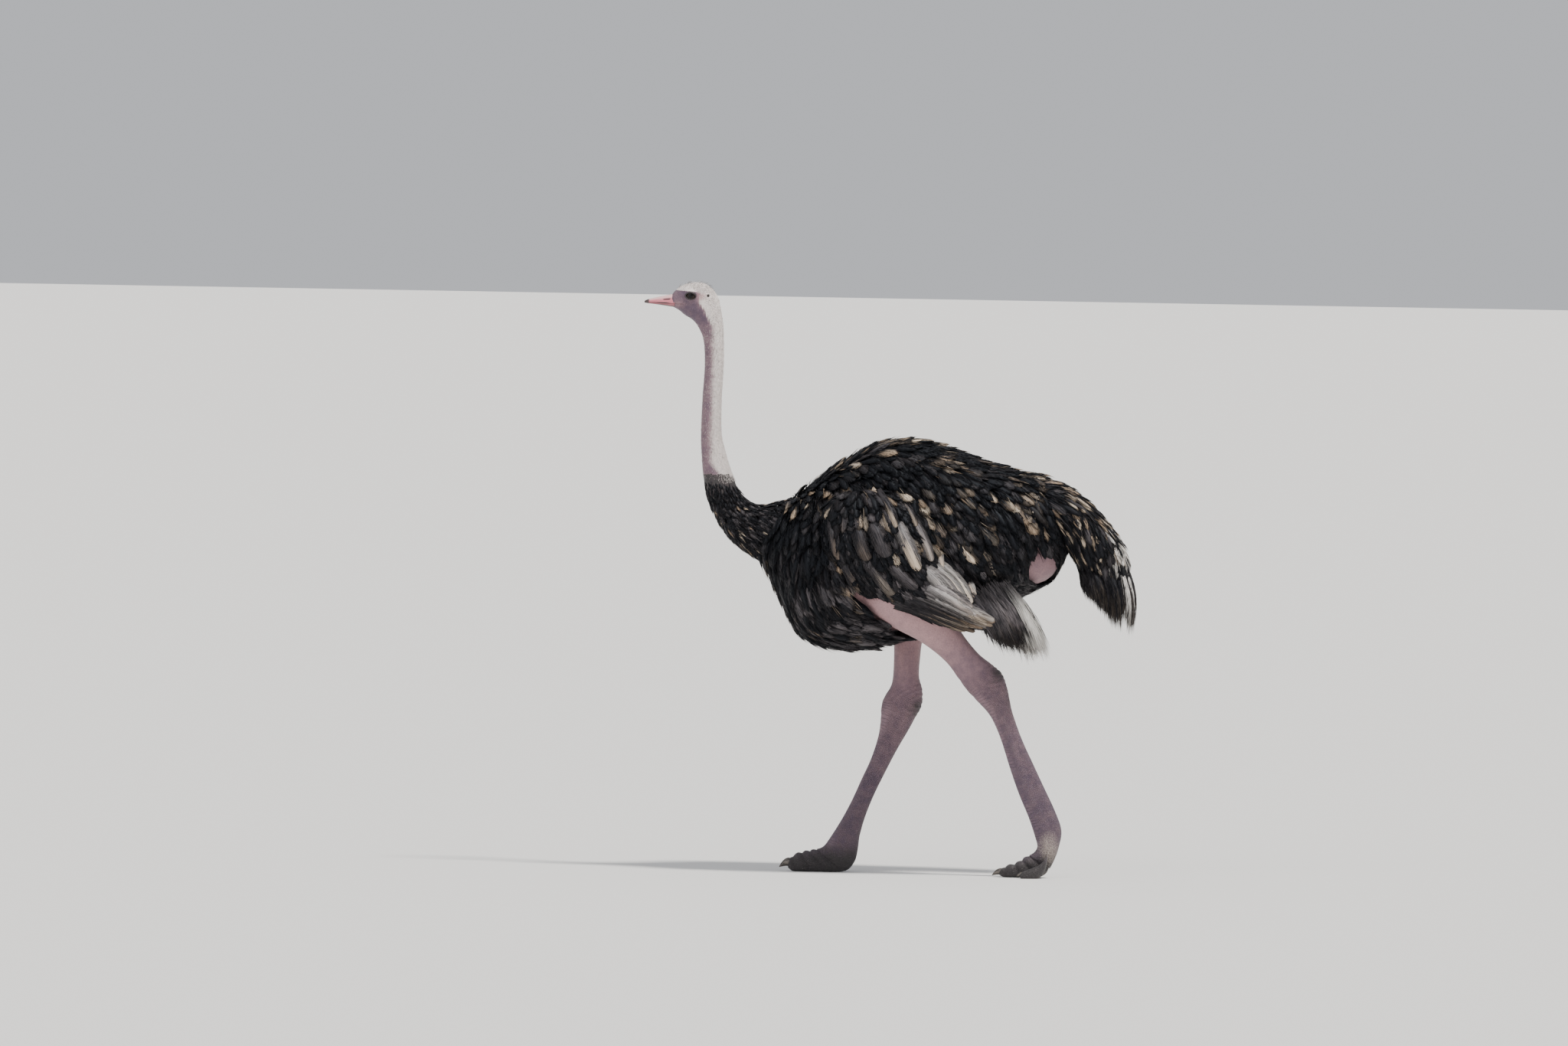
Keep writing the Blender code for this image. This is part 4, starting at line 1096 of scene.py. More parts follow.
class Coat:
    """Feathers, each a middle line with its sideways and outward directions, all of shape
    (feathers, steps, 3), and a root's place on the unwrap."""

    def __init__(self, line, up, places, seed):
        self.line, self.places = line, places
        ahead = unit(np.gradient(line, axis=1))
        self.side = unit(np.cross(ahead, up))
        self.up = np.cross(self.side, ahead)
        self.rng = np.random.default_rng(seed)
        self.count = len(line)
        root = line[:, 0]
        self.x, self.y, self.z = root[:, 0], root[:, 1] - SHIFT, root[:, 2]
        self.tip_y, self.tip_z = line[:, -1, 1] - SHIFT, line[:, -1, 2]

    def kept(self, mask):
        """Only the feathers of a mask, with random numbers that start from how many they are."""
        return Coat(self.line[mask], self.up[mask], self.places[mask], int(mask.sum()))

    def clear(self):
        """Without the feathers that would lie over bare skin."""
        outer = self.line[:, self.line.shape[1] // 3 :]
        spread = np.repeat(self.between(0.80, 1.18), outer.shape[1])
        return self.kept(~bare(outer.reshape(-1, 3), spread).reshape(self.count, -1).any(1))

    def odds(self, share):
        return self.rng.random(self.count) < share

    def between(self, low, high):
        return self.rng.uniform(low, high, self.count)

    def some(self, share, low, high, rest=0.0):
        """A number between low and high for a share of the feathers, and rest for the others."""
        return np.where(self.odds(share), self.between(low, high), rest)

    def grow(
        self,
        name,
        kind,
        width,
        dyes,
        thickness=0.0012,
        slot="black_plumage",
        finish=None,
        mirrored=False,
        cup=0.30,
        fade=None,
    ):
        """Templates' across, along and height become steps along each feather's side, line and outward
        directions. cup bends a vane's edges down by the square of across, and fade is where along the
        vane its white begins. Without a finish of its own a coat is plumage."""
        steps = self.line.shape[1]
        width = width * np.ones(self.count)
        dyes = np.stack([d * np.ones(self.count) for d in dyes], 1)
        pick = self.rng.integers(0, TEMPLATES, self.count)
        own = self.rng.random(self.count)
        tilt = self.rng.normal(0, 0.14, self.count)
        found, first = [], 0
        for t in range(TEMPLATES):
            chosen = np.flatnonzero(pick == t)
            shape, faces = template(kind, 11 * t + len(kind))
            place = np.clip(shape[:, 1], 0, None) * (steps - 1)
            i = np.minimum(place.astype(int), steps - 2)
            f = (place - i)[None, :, None]
            middle, side, up = (
                a[chosen][:, i] * (1 - f) + a[chosen][:, i + 1] * f for a in (self.line, self.side, self.up)
            )
            w = width[chosen][:, None, None] / 2
            across = shape[None, :, 0, None]
            high = shape[None, :, 2, None] * thickness - cup * w * np.minimum(across**2, 1.5)
            high = high + across * w * tilt[chosen][:, None, None]
            points, many = numbered_on(middle + side * across * w + up * high, faces)
            along = np.tile(shape[:, 1], len(chosen))
            mark = np.repeat(dyes[chosen], len(shape), 0)
            if fade:
                mark[:, 2] *= smooth(*fade, along)
                mark[:, 1] *= 1 - 0.8 * smooth(*fade, along)
            vane = np.stack([np.tile(shape[:, 0], len(chosen)), along, np.repeat(own[chosen], len(shape))], 1)
            found.append((points, many + first, vane, mark, np.repeat(self.places[chosen], len(shape), 0)))
            first += len(points)
        points, faces, vane, mark, roots = (np.vstack(part) for part in zip(*found))
        if mirrored:
            points = points * np.array([-1, 1, 1])
        piece = new_piece(name, points, outward(points, faces), slot, finish or plumage())
        give(piece, "vane", vane)
        give(piece, "dye", mark)
        unwrap(piece, roots, vane)
        return piece


def unwrap(piece, roots, vane):
    """The baking map: each feather is a patch 0.003 across at its root's place on the unwrap of the
    tube that it grows from, spread over the piece's share of it."""
    low, high = roots.min(0), roots.max(0)
    centre = 0.004 + 0.992 * (roots - low) / np.maximum(high - low, 1e-6)
    patch = np.clip(vane[:, :2] * np.array([0.5, 1.0]) - np.array([0, 0.5]), -0.6, 0.6) * 0.0025
    index = np.empty(len(piece.data.loops), np.int32)
    piece.data.loops.foreach_get("vertex_index", index)
    layer = piece.data.uv_layers.new(name="OFBake")
    layer.uv.foreach_set("vector", (centre + patch)[index].astype(np.float32).ravel())


def laid(tube, u, v, seed, lie, length, deep, tip, sway=0.12, steps=7):
    """A coat on a tube. Each feather follows the surface from its root in small steps along the lie, and
    rises from the skin to the outline, so that tips lie over the roots behind them."""
    rng = np.random.default_rng(seed)
    places = np.stack([u, v], 1)
    turn, bend = rng.normal(0, sway, len(u)), rng.normal(0, sway * 0.8, len(u))
    line, ups = [], []
    for k in range(steps):
        share = k / (steps - 1)
        point, along, round_, normal = tube.frame(u, v)
        way = lie(point, normal)
        way = unit(way - normal * (way * normal).sum(-1, keepdims=True))
        way = unit(way + np.cross(way, normal) * (turn + bend * share)[:, None])
        rise = -deep + (deep + tip) * share**0.5
        line.append(point + normal * np.reshape(rise, (-1, 1)))
        ups.append(normal)
        aa, ab, bb = (along * along).sum(-1), (along * round_).sum(-1), (round_ * round_).sum(-1)
        wa, wb = (way * along).sum(-1), (way * round_).sum(-1)
        scale = length / (steps - 1) / np.maximum(aa * bb - ab * ab, 1e-12)
        u = np.minimum(u + (wa * bb - wb * ab) * scale, 1.03)
        v = v + (wb * aa - wa * ab) * scale
    return Coat(np.stack(line, 1), np.stack(ups, 1), places, seed)


TRUNK_OUTSIDE = Tube(NECK[-2:] + TRUNK[1:] + RUMP_END, power=2.15, fullness=0.10)
NECK_OUTSIDE = Tube(NECK[6:] + (((-0.320, 1.200), (-0.370, 0.960), 0.100),))
WING_OUTSIDE = Tube(WING, 1, power=2.2)
TAIL_OUTSIDE = Tube(TAIL, power=2.3)
WING_HEM = ((-0.14, -0.02, 0.05, 0.10, 0.20, 0.31), (0.895, 0.857, 0.830, 0.802, 0.785, 0.790))


def bare(points, spread=1.0):
    """Where the skin shows: the left thigh below the wing, the right thigh, and the sides of the rump,
    whose patches are wider or narrower by spread."""
    x, y, z = points[:, 0], points[:, 1] - SHIFT, points[:, 2]
    under_wing = z < np.interp(y, *WING_HEM)
    front = np.interp(y, (-0.14, -0.05, 0.05, 0.15, 0.30), (0.865, 0.812, 0.755, 0.70, 0.62))
    left = (x > 0.05) & under_wing & (z > front) & (y > -0.125) & (y < 0.34)
    reach = np.interp(z, (0.68, 0.745, 0.815, 0.90), (-0.012, -0.016, -0.040, -0.090))
    back = np.interp(z, (0.68, 0.745, 0.815, 0.90), (0.078, 0.088, 0.127, 0.170))
    right = (x < -0.05) & under_wing & (y > reach) & (y < back)
    past, up = y - 0.455, z - 0.963
    oval = np.hypot((0.84 * past + 0.54 * up) / 0.056, (0.84 * up - 0.54 * past) / 0.036) < spread
    return left | right | (oval & (np.abs(x) > 0.02))


def outside_x(tube, y, z, spread=0.24):
    """How far out a tube's side reaches at places (y, z): the X of the nearest of its sampled points."""
    u, v = np.meshgrid(np.linspace(0, 1, 120), np.linspace(-spread, spread, 60), indexing="ij")
    samples = tube.at(u, v).reshape(-1, 3)
    places = np.stack([y.ravel() + SHIFT, z.ravel()], 1)
    near = ((places[:, None] - samples[None, :, 1:]) ** 2).sum(2).argmin(1)
    return samples[near, 0].reshape(y.shape)


def draped(corners, lift, seed, steps=9):
    """Feathers over the wing along cubic curves. corners holds, for each feather, four points (y, z)."""
    t = np.linspace(0, 1, steps)[None, :, None]
    c = np.asarray(corners, float)
    curve = (
        c[:, None, 0] * (1 - t) ** 3
        + 3 * c[:, None, 1] * t * (1 - t) ** 2
        + 3 * c[:, None, 2] * t * t * (1 - t)
        + c[:, None, 3] * t**3
    )
    y, z = curve[..., 0], curve[..., 1]
    out = outside_x(WING_OUTSIDE, y, z)
    smoother = np.stack([np.convolve(row, np.ones(3) / 3, "same") for row in out])
    out[:, 1:-1] = smoother[:, 1:-1]
    out = out + np.reshape(lift, (-1, 1)) - 0.022 * smooth(0.38, 0.0, t[..., 0])
    line = np.stack([out, y + SHIFT, z], -1)
    up = unit(np.stack([1 + 0 * y, 0 * y, 0.25 + 0 * y], -1))
    return Coat(line, up, np.stack([c[:, 0, 0], c[:, 0, 1]], 1), seed)


def body_lie(points, normal):
    """Backwards on the back, down and back on the flanks and rump, straight down on the breast."""
    y, z = points[:, 1] - SHIFT, points[:, 2]
    breast = smooth(-0.12, -0.34, y)
    flank = smooth(0.25, 0.9, np.abs(normal[:, 0]))
    rear = smooth(0.20, 0.46, y)
    angle = 22 + 34 * flank + 22 * rear * (1 - 0.5 * flank) + 30 * breast
    angle = np.minimum(angle - 38 * smooth(0.95, 0.78, z) * (1 - breast), 84)
    angle = np.radians(angle)
    return np.stack([0.10 * normal[:, 0], np.cos(angle), -np.sin(angle)], 1)


def plumage():
    """The plumage's material, made when it is first asked for."""
    return bpy.data.materials.get("ostrich_plumage") or plumage_finish()


def flesh_core(name, tube, end, node, side=1):
    """The dark flesh inside a wing or the tail, in place of its node: the tube up to a share of its own
    length, and mirrored where side is -1."""
    points, faces = grid(tube.rings(np.linspace(0, end, 40), 40) * np.array([side, 1, 1]))
    piece = new_piece(name, points, faces, "black_plumage", plumage())
    give(piece, "vane", 0 * points)
    give(piece, "dye", 0 * points)
    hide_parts(node)


def worn(coat, centres, ways, strengths):
    """How tan each feather is: the strongest of the worn patches that its outer half lies in. Each patch
    is an oval of 6 by 2.5 cm along the lie, so that feathers and wisps in one patch are alike."""
    place = coat.line[:, coat.line.shape[1] * 3 // 4]
    found = np.zeros(coat.count)
    for part in np.array_split(np.arange(coat.count), 8):
        apart = place[part, None] - centres[None]
        along = (apart * ways[None]).sum(2)
        across = (apart * apart).sum(2) - along**2
        found[part] = (strengths * np.exp(-((along / 0.030) ** 2) - across / 0.0125**2)).max(1)
    return found * smooth(0.22, 0.50, found)


def patches(tube, lie, spacing, seed, rich):
    """Centres, directions and strengths of worn patches on a tube; rich(y, z) is the share of strong ones."""
    u, v = scattered(tube, spacing, seed, 0.0, 0.98)
    point, _, _, normal = tube.frame(u, v)
    rng = np.random.default_rng(seed)
    share = rich(point[:, 1] - SHIFT, point[:, 2])
    strong = np.where(rng.random(len(u)) < share, rng.uniform(0.35, 1.30, len(u)), 0.0)
    return point, unit(lie(point, normal)), strong


class OSTRICH_OT_body_feathers(bpy.types.Operator):
    """Feathers of the back, flanks, breast, belly and rump"""

    bl_idname = "ostrich.body_feathers"
    bl_label = "Body feathers"

    def execute(self, context):
        sized = sizes()

        def rich(y, z):
            """Most on the shoulder, the back and the rump's top, few on the flanks and breast."""
            where = np.stack([y, z], 1)
            found = 0.09 + 0.20 * smooth(1.16, 1.28, z) * smooth(-0.38, -0.24, y)
            found = found + 0.50 * bump_at(where, (-0.20, 1.20), (0.10, 0.07))
            found = found + 0.90 * bump_at(where, (-0.13, 0.84), (0.04, 0.03))
            return found + 0.40 * bump_at(where, (0.42, 1.19), (0.09, 0.06))

        self.worn_places = patches(TRUNK_OUTSIDE, body_lie, 0.036, 5, rich)
        self.cover("feathers", "contour", sized.feather_spacing, sized.feather_length, sized.feather_width, 3)
        self.cover("wisps", "wisp", sized.feather_spacing * 0.62, sized.feather_length * 0.7, 0.0050, 8)
        return {"FINISHED"}

    def cover(self, name, kind, spacing, size, wide, seed):
        """One layer over the whole trunk, as four pieces."""
        sized = sizes()
        rough = sized.raggedness
        u, v = scattered(TRUNK_OUTSIDE, spacing, seed, 0.03, 0.985)
        points = TRUNK_OUTSIDE.at(u, v)
        rng = np.random.default_rng(seed + 1)
        y, z = points[:, 1] - SHIFT, points[:, 2]
        size = size * rng.uniform(1 - 0.25 * rough, 1 + 0.25 * rough, len(u))
        breast = 0.45 * smooth(-0.20, -0.34, y) * smooth(1.15, 1.0, z)
        shoulder = 0.30 * smooth(1.15, 1.25, z) * smooth(-0.15, -0.3, y)
        size *= 1 + breast - shoulder
        tip = rng.normal(-0.002, 0.003 * rough, len(u))
        tip = tip + 0.016 * rough * smooth(0.84, 0.76, z) * rng.random(len(u)) ** 2
        if kind == "wisp":
            tip = tip + 0.002
        coat = laid(TRUNK_OUTSIDE, u, v, seed, body_lie, size, sized.coat_depth, tip, 0.14 * rough).clear()
        parts = {
            "breast": coat.y < -0.21,
            "middle_left": (coat.y >= -0.21) & (coat.y < 0.17) & (coat.x > 0),
            "middle_right": (coat.y >= -0.21) & (coat.y < 0.17) & (coat.x <= 0),
            "rump": coat.y >= 0.17,
        }
        for part, mask in parts.items():
            self.dress(coat.kept(mask), name + "_" + part, kind, wide)

    def dress(self, coat, name, kind, wide):
        """Worn tan tips on back, shoulder and rump, few low on the flanks, brown-grey on the breast."""
        tan = worn(coat, *self.worn_places)
        low = smooth(1.10, 0.95, coat.z)
        grey = coat.some(0.22 + 0.25 * low, 0.25, 0.9, 0.03) * (0.30 + 0.45 * low)
        if kind == "wisp":
            tan, grey = tan * 1.4 * coat.odds(0.6), grey * 0.5
        else:
            tan = tan * coat.between(0.25, 1.15)
        width = wide * coat.between(0.72, 1.22) * (1 - 0.22 * smooth(-0.2, -0.34, coat.y))
        coat.grow(name, kind, width, (tan, grey, 0.0), sizes().feather_thickness)


class OSTRICH_OT_neck_feathers(bpy.types.Operator):
    """Short black feathers of the neck's base"""

    bl_idname = "ostrich.neck_feathers"
    bl_label = "Neck feathers"

    def execute(self, context):
        def lie(points, normal):
            """Down the neck, turning back along the shoulders."""
            low = smooth(1.22, 1.08, points[:, 2])
            return np.stack([0 * low, 0.30 + 0.75 * low, -0.95 + 0.25 * low], 1)

        u, v = scattered(NECK_OUTSIDE, 0.0088, 17, 0.05, 0.97)
        points = NECK_OUTSIDE.at(u, v)
        kept = hood(points) > 0.5
        u, v, z = u[kept], v[kept], points[kept, 2]
        rng = np.random.default_rng(18)
        low = smooth(1.24, 1.08, z)
        size = (0.026 + 0.044 * low) * rng.uniform(0.75, 1.25, len(u))
        tip = rng.normal(-0.0006, 0.0010, len(u))
        coat = laid(NECK_OUTSIDE, u, v, 21, lie, size, 0.004 + 0.014 * low, tip)
        coat.rng = np.random.default_rng(22)
        wide = (0.0095 + 0.013 * low) * coat.between(0.75, 1.2)
        tan = np.where(coat.odds(0.05 * low), 0.6, 0.0)
        grey = np.where(coat.odds(0.25), 0.35, 0.04)
        coat.grow("feathers_neck", "short", wide, (tan, grey, 0.0), 0.0008)
        return {"FINISHED"}


def wing_lie(points, normal):
    """Down over the shoulder, turning to run back along the wing towards its tip."""
    y, z = points[:, 1] - SHIFT, points[:, 2]
    back = smooth(-0.20, 0.24, y + 0.50 * (1.02 - z))
    angle = np.radians(-80 + 50 * back)
    return np.stack([0 * y, np.cos(angle), np.sin(angle)], 1)


# Broad feathers that stand out on the wing: four points (y, z) of each one's middle, its width, and how
# tan, grey and white it is.
MARKED = (
    (((-0.085, 1.235), (-0.055, 1.200), (-0.030, 1.160), (-0.012, 1.105)), 0.034, 0.5, 0.2, 0.0),
    (((-0.015, 1.230), (0.010, 1.190), (0.035, 1.155), (0.052, 1.110)), 0.032, 0.3, 0.3, 0.0),
    (((0.040, 1.220), (0.070, 1.170), (0.088, 1.125), (0.100, 1.070)), 0.028, 1.1, 0.4, 0.05),
    (((0.010, 1.175), (0.045, 1.130), (0.080, 1.075), (0.103, 1.000)), 0.038, 0.2, 0.75, 0.05),
    (((0.070, 1.150), (0.103, 1.100), (0.122, 1.045), (0.137, 0.980)), 0.026, 1.2, 0.6, 0.25),
    (((-0.025, 1.145), (0.002, 1.100), (0.030, 1.045), (0.062, 0.970)), 0.050, 1.2, 0.6, 0.12),
    (((-0.140, 1.125), (-0.132, 1.085), (-0.118, 1.045), (-0.097, 1.000)), 0.052, 0.1, 0.20, 0.0),
    (((-0.095, 1.140), (-0.078, 1.100), (-0.058, 1.060), (-0.035, 1.012)), 0.058, 0.0, 0.28, 0.0),
    (((-0.218, 1.130), (-0.214, 1.090), (-0.205, 1.050), (-0.188, 1.000)), 0.036, 0.2, 0.3, 0.0),
    (((-0.185, 1.025), (-0.168, 0.980), (-0.145, 0.940), (-0.112, 0.900)), 0.046, 0.15, 0.20, 0.0),
    (((-0.105, 1.020), (-0.080, 0.975), (-0.050, 0.935), (-0.012, 0.895)), 0.050, 0.15, 0.24, 0.0),
    (((-0.040, 1.010), (-0.015, 0.975), (0.020, 0.945), (0.060, 0.915)), 0.046, 0.0, 0.35, 0.0),
    (((0.105, 1.115), (0.140, 1.080), (0.170, 1.050), (0.205, 1.022)), 0.026, 0.0, 0.2, 0.0),
    (((0.130, 1.045), (0.170, 1.025), (0.208, 1.000), (0.245, 0.970)), 0.024, 0.0, 0.4, 0.0),
    (((0.060, 0.985), (0.100, 0.970), (0.140, 0.920), (0.172, 0.868)), 0.044, 0.3, 0.9, 0.25),
    (((0.055, 0.995), (0.115, 0.975), (0.165, 0.925), (0.197, 0.860)), 0.036, 1.4, 0.7, 0.16),
    (((0.070, 1.005), (0.130, 0.985), (0.183, 0.933), (0.215, 0.858)), 0.038, 1.5, 0.5, 0.30),
    (((0.085, 1.015), (0.145, 0.992), (0.200, 0.940), (0.230, 0.868)), 0.040, 1.5, 0.5, 0.28),
    (((0.100, 1.022), (0.160, 1.000), (0.216, 0.950), (0.240, 0.888)), 0.038, 1.4, 0.5, 0.36),
)


class OSTRICH_OT_wing_feathers(bpy.types.Operator):
    """Coverts, pale flight feathers and soft trailing plumes of both wings"""

    bl_idname = "ostrich.wing_feathers"
    bl_label = "Wing feathers"

    def execute(self, context):
        for word, mirrored in (("left", False), ("right", True)):
            self.coverts(word, mirrored)
            self.flight(word, mirrored)
            self.trailing(word, mirrored)
        return {"FINISHED"}

    def coverts(self, word, mirrored):
        """The wing's flesh inside its plumage, and rows of coverts over its outer side."""
        seed = 40 + mirrored
        inner = Tube(WING, 1, power=2.2, insets=[0.012] + [0.026] * (len(WING) - 1))
        flesh_core("wing_flesh_" + word, inner, 0.9, "wing_" + word, -1 if mirrored else 1)

        def rich(y, z):
            """Most on the shoulder and along the wing's upper rear, few below."""
            top = smooth(1.08, 1.16, z)
            return 0.07 + 0.34 * np.maximum(top, smooth(-0.03, 0.08, y) * smooth(0.98, 1.04, z))

        places = patches(WING_OUTSIDE, wing_lie, 0.036, 45, rich)
        for name, kind, spacing, size, wide in (
            ("coverts_", "contour", 0.0185, 0.105, 0.044),
            ("covert_wisps_", "wisp", 0.0130, 0.080, 0.0045),
        ):
            u, v = scattered(WING_OUTSIDE, spacing, seed, 0.0, 0.93)
            kept = (v < 0.29) | (v > 0.72)
            u, v = u[kept], v[kept]
            rng = np.random.default_rng(seed)
            size = size * rng.uniform(0.75, 1.25, len(u))
            coat = laid(WING_OUTSIDE, u, v, seed, wing_lie, size, 0.024, rng.normal(-0.002, 0.002, len(u)))
            hem = np.interp(coat.tip_y, *WING_HEM)
            coat = coat.kept((coat.tip_z > hem - 0.002) & (coat.line[:, -1, 0] > 0.09))
            tan = worn(coat, *places)
            tan = tan * (coat.between(0.25, 1.15) if kind == "contour" else 1.4 * coat.odds(0.6))
            low = smooth(1.06, 0.94, coat.z)
            grey = coat.some(0.25 + 0.35 * low, 0.3, 1.0, 0.04)
            dyes = (tan * (1 - 0.4 * low), grey * (0.42 + 0.42 * low), 0.0)
            width = wide * coat.between(0.75, 1.2)
            coat.grow(name + word, kind, width, dyes, mirrored=mirrored)

    def flight(self, word, mirrored):
        """Broad marked feathers, and the folded flight feathers: pale blades fanned from the wrist."""
        rng = np.random.default_rng(60 + mirrored)
        corners, wide, tan, grey, white = (np.array(part, float) for part in zip(*MARKED))
        coat = draped(corners, 0.0005 * np.arange(len(wide)) % 0.004, 61)
        pale_slot = {"slot": "pale_plumage", "mirrored": mirrored}
        coat.grow("marked_" + word, "flight", wide, (tan, grey, white), cup=0.18, **pale_slot)
        count = 34
        share = np.linspace(0, 1, count)
        y = -0.055 + 0.135 * share + rng.normal(0, 0.004, count)
        z = 0.872 + 0.078 * share + rng.normal(0, 0.004, count)
        angle = np.radians(-17.5 - 6 * share - 9 * smooth(0.5, 1, share) + rng.normal(0, 1.5, count))
        reach = 0.27 + 0.03 * smooth(0, 0.5, share) - 0.125 * smooth(0.55, 1, share)
        reach = reach + rng.normal(0, 0.008, count)
        along = np.array([0, 0.33, 0.67, 1.0])[None]
        bow = np.array([0, 0.006, 0.006, 0])[None]
        corners = np.stack(
            [
                y[:, None] + np.cos(angle)[:, None] * reach[:, None] * along,
                z[:, None] + np.sin(angle)[:, None] * reach[:, None] * along + bow,
            ],
            -1,
        )
        coat = draped(corners, 0.001 + 0.004 * share, 62)
        pale = smooth(0.45, 0.75, share)
        white = pale * rng.uniform(0.08, 0.44, count)
        tan = (1 - 0.6 * pale) * rng.uniform(0.2, 0.8, count)
        dyes = (tan, 0.22 + 0.95 * pale, white)
        coat.grow("flight_" + word, "flight", 0.034, dyes, 0.0014, cup=0.15, **pale_slot)

    def trailing(self, word, mirrored):
        """Soft plumes that hang past the wing's end: grey-black, with white tips towards the rear."""
        seed = 80 + mirrored
        rng = np.random.default_rng(seed)
        count = 84
        share = (np.arange(count) + rng.random(count)) / count
        root = np.stack([0.205 + 0.125 * share, 0.885 + 0.050 * share], 1) + rng.normal(0, 0.010, (count, 2))
        hem = ((0, 0.2, 0.42, 0.60, 0.70, 0.85, 1), (0.792, 0.745, 0.724, 0.742, 0.724, 0.702, 0.722))
        tip_y, tip_z = 0.300 + 0.142 * share**0.9, np.interp(share, *hem)
        tip = np.stack([tip_y, tip_z], 1) + rng.normal(0, 0.009, (count, 2))
        tip = tip + (tip - root) * (0.17 - 0.25 * rng.random((count, 1)) ** 2)
        first = root + (tip - root) * 0.35 + np.stack([0.018 + 0 * share, 0.018 * share], 1)
        second = root + (tip - root) * 0.72 + np.stack([0.010 + 0 * share, 0.010 * share], 1)
        curl = np.stack([-0.012 + 0.020 * rng.random(count), 0.012 * rng.random(count)], 1)
        corners = np.stack([root, first, second, tip + curl], 1)
        coat = draped(corners, 0, seed)
        depth = rng.random(count) * 0.045
        y = coat.line[..., 1] - SHIFT
        coat.line[..., 0] = 0.268 - 0.22 * np.maximum(y - 0.22, 0) - depth[:, None]
        rear = rng.random(count) < 0.80 * smooth(0.66, 0.80, share)
        white = np.where(rear, rng.uniform(0.9, 2.0, count), 0.0)
        grey = np.where(share < 0.5, 0.55, 0.85) * rng.uniform(0.4, 1.1, count)
        pale_slot = {"slot": "pale_plumage", "mirrored": mirrored, "cup": 0.2}
        coat.grow("trailing_" + word, "soft", 0.040, (0.05, grey, white), fade=(0.58, 0.78), **pale_slot)
        edge = coat.kept(share > 0.86)
        edge.line[..., 0] += 0.004
        edge.line[..., 1] += 0.006
        dyes = (0.0, 0.5, 2.0)
        piece = edge.grow("trailing_edge_" + word, "soft", 0.026, dyes, fade=(0.22, 0.45), **pale_slot)
        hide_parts("wing_plumes_" + word)


class OSTRICH_OT_tail_feathers(bpy.types.Operator):
    """The drooping tail: plumes over its core, with ragged tips and a pale outer edge"""

    bl_idname = "ostrich.tail_feathers"
    bl_label = "Tail feathers"

    def execute(self, context):
        flesh_core("tail_flesh", Tube(TAIL, power=2.3, insets=0.032), 0.88, "tail")

        def lie(points, normal):
            """Along the tail's own sweep: backwards at its root, then steeply down."""
            fall = smooth(0.42, 0.68, points[:, 1] - SHIFT + 0.7 * (1.16 - points[:, 2]))
            angle = np.radians(-30 - 46 * fall)
            return np.stack([0.20 * points[:, 0], np.cos(angle), np.sin(angle)], 1)

        for name, kind, spacing, size, wide, seed in (
            ("tail_plumes", "contour", 0.0175, 0.120, 0.030, 91),
            ("tail_wisps", "wisp", 0.0100, 0.110, 0.0050, 93),
            ("tail_shag", "shag", 0.0200, 0.130, 0.040, 94),
        ):
            u, v = scattered(TAIL_OUTSIDE, spacing, seed, 0.0, 0.93)
            rng = np.random.default_rng(seed)
            size = size * rng.uniform(0.75, 1.2, len(u))
            coat = laid(TAIL_OUTSIDE, u, v, seed, lie, size, 0.028, rng.normal(-0.004, 0.003, len(u)), 0.13)
            self.dress(coat.clear(), name, kind, wide)
        self.streamers()
        return {"FINISHED"}

    def dress(self, coat, name, kind, wide):
        """Black, with worn tan tips above and white or cream plumes on the outer edge."""
        y, z = (coat.y + coat.tip_y) / 2, (coat.z + coat.tip_z) / 2
        slant = (y - 0.715) * 0.77 + (z - 1.045) * 0.64
        patch = np.exp(-((slant / 0.028) ** 2) - ((z - 1.045) / 0.045) ** 2)
        strip = smooth(0.715, 0.735, y) * smooth(1.02, 0.98, z) * 0.40
        cream = np.exp(-(((y - 0.672) / 0.010) ** 2) - ((z - 1.000) / 0.035) ** 2) * 0.8
        white = coat.some(np.clip(patch * 1.2 + strip + cream, 0, 1), 0.6, 1.0)
        top = smooth(1.05, 1.12, coat.z)
        tan = coat.some(0.05 + 0.22 * top, 0.3, 1.0)
        grey = coat.some(0.25, 0.1, 0.5, 0.03)
        if kind == "wisp":
            tan = 0.0
        dyes = (tan, np.maximum(grey, white * 0.5), white)
        coat.grow(name, kind, wide * coat.between(0.7, 1.2), dyes)

    def streamers(self):
        """Long soft plumes that hang from the tail's end to its lowest tips."""
        rng = np.random.default_rng(95)
        count = 130
        across, depth = rng.uniform(-1, 1, count), rng.random(count)
        root_y = 0.565 + 0.140 * depth * (1 - 0.35 * across**2)
        root_z = 1.01 + 0.03 * rng.random(count) - 0.03 * (1 - depth)
        tip_y = 0.615 + 0.140 * depth * (1 - 0.30 * across**2)
        tip_z = np.interp(depth, (0, 0.3, 0.6, 1.0), (0.870, 0.815, 0.765, 0.755))
        tip_z = tip_z + 0.05 * across**2 + rng.random(count) ** 2 * 0.05
        t = np.linspace(0, 1, 8)[None]
        y = root_y[:, None] + (tip_y - root_y)[:, None] * t + 0.026 * np.sin(math.pi * t) * depth[:, None]
        z = root_z[:, None] + (tip_z - root_z)[:, None] * t
        x = 0.115 * across[:, None] * (1 + 0.15 * t)
        line = np.stack([x, y + SHIFT, z], -1)
        back = unit(np.stack([0.9 * across, 0.5 + 0.5 * depth, 0 * depth], 1))[:, None] + 0 * line
        coat = Coat(line, back, np.stack([across, depth], 1), 96)
        pale = (depth > 0.82) & (rng.random(count) < 0.5)
        grey = np.where(pale, 0.7, 0.25 * rng.random(count))
        coat.grow("tail_streamers", "soft", 0.034, (0.1, grey, pale * 0.75))


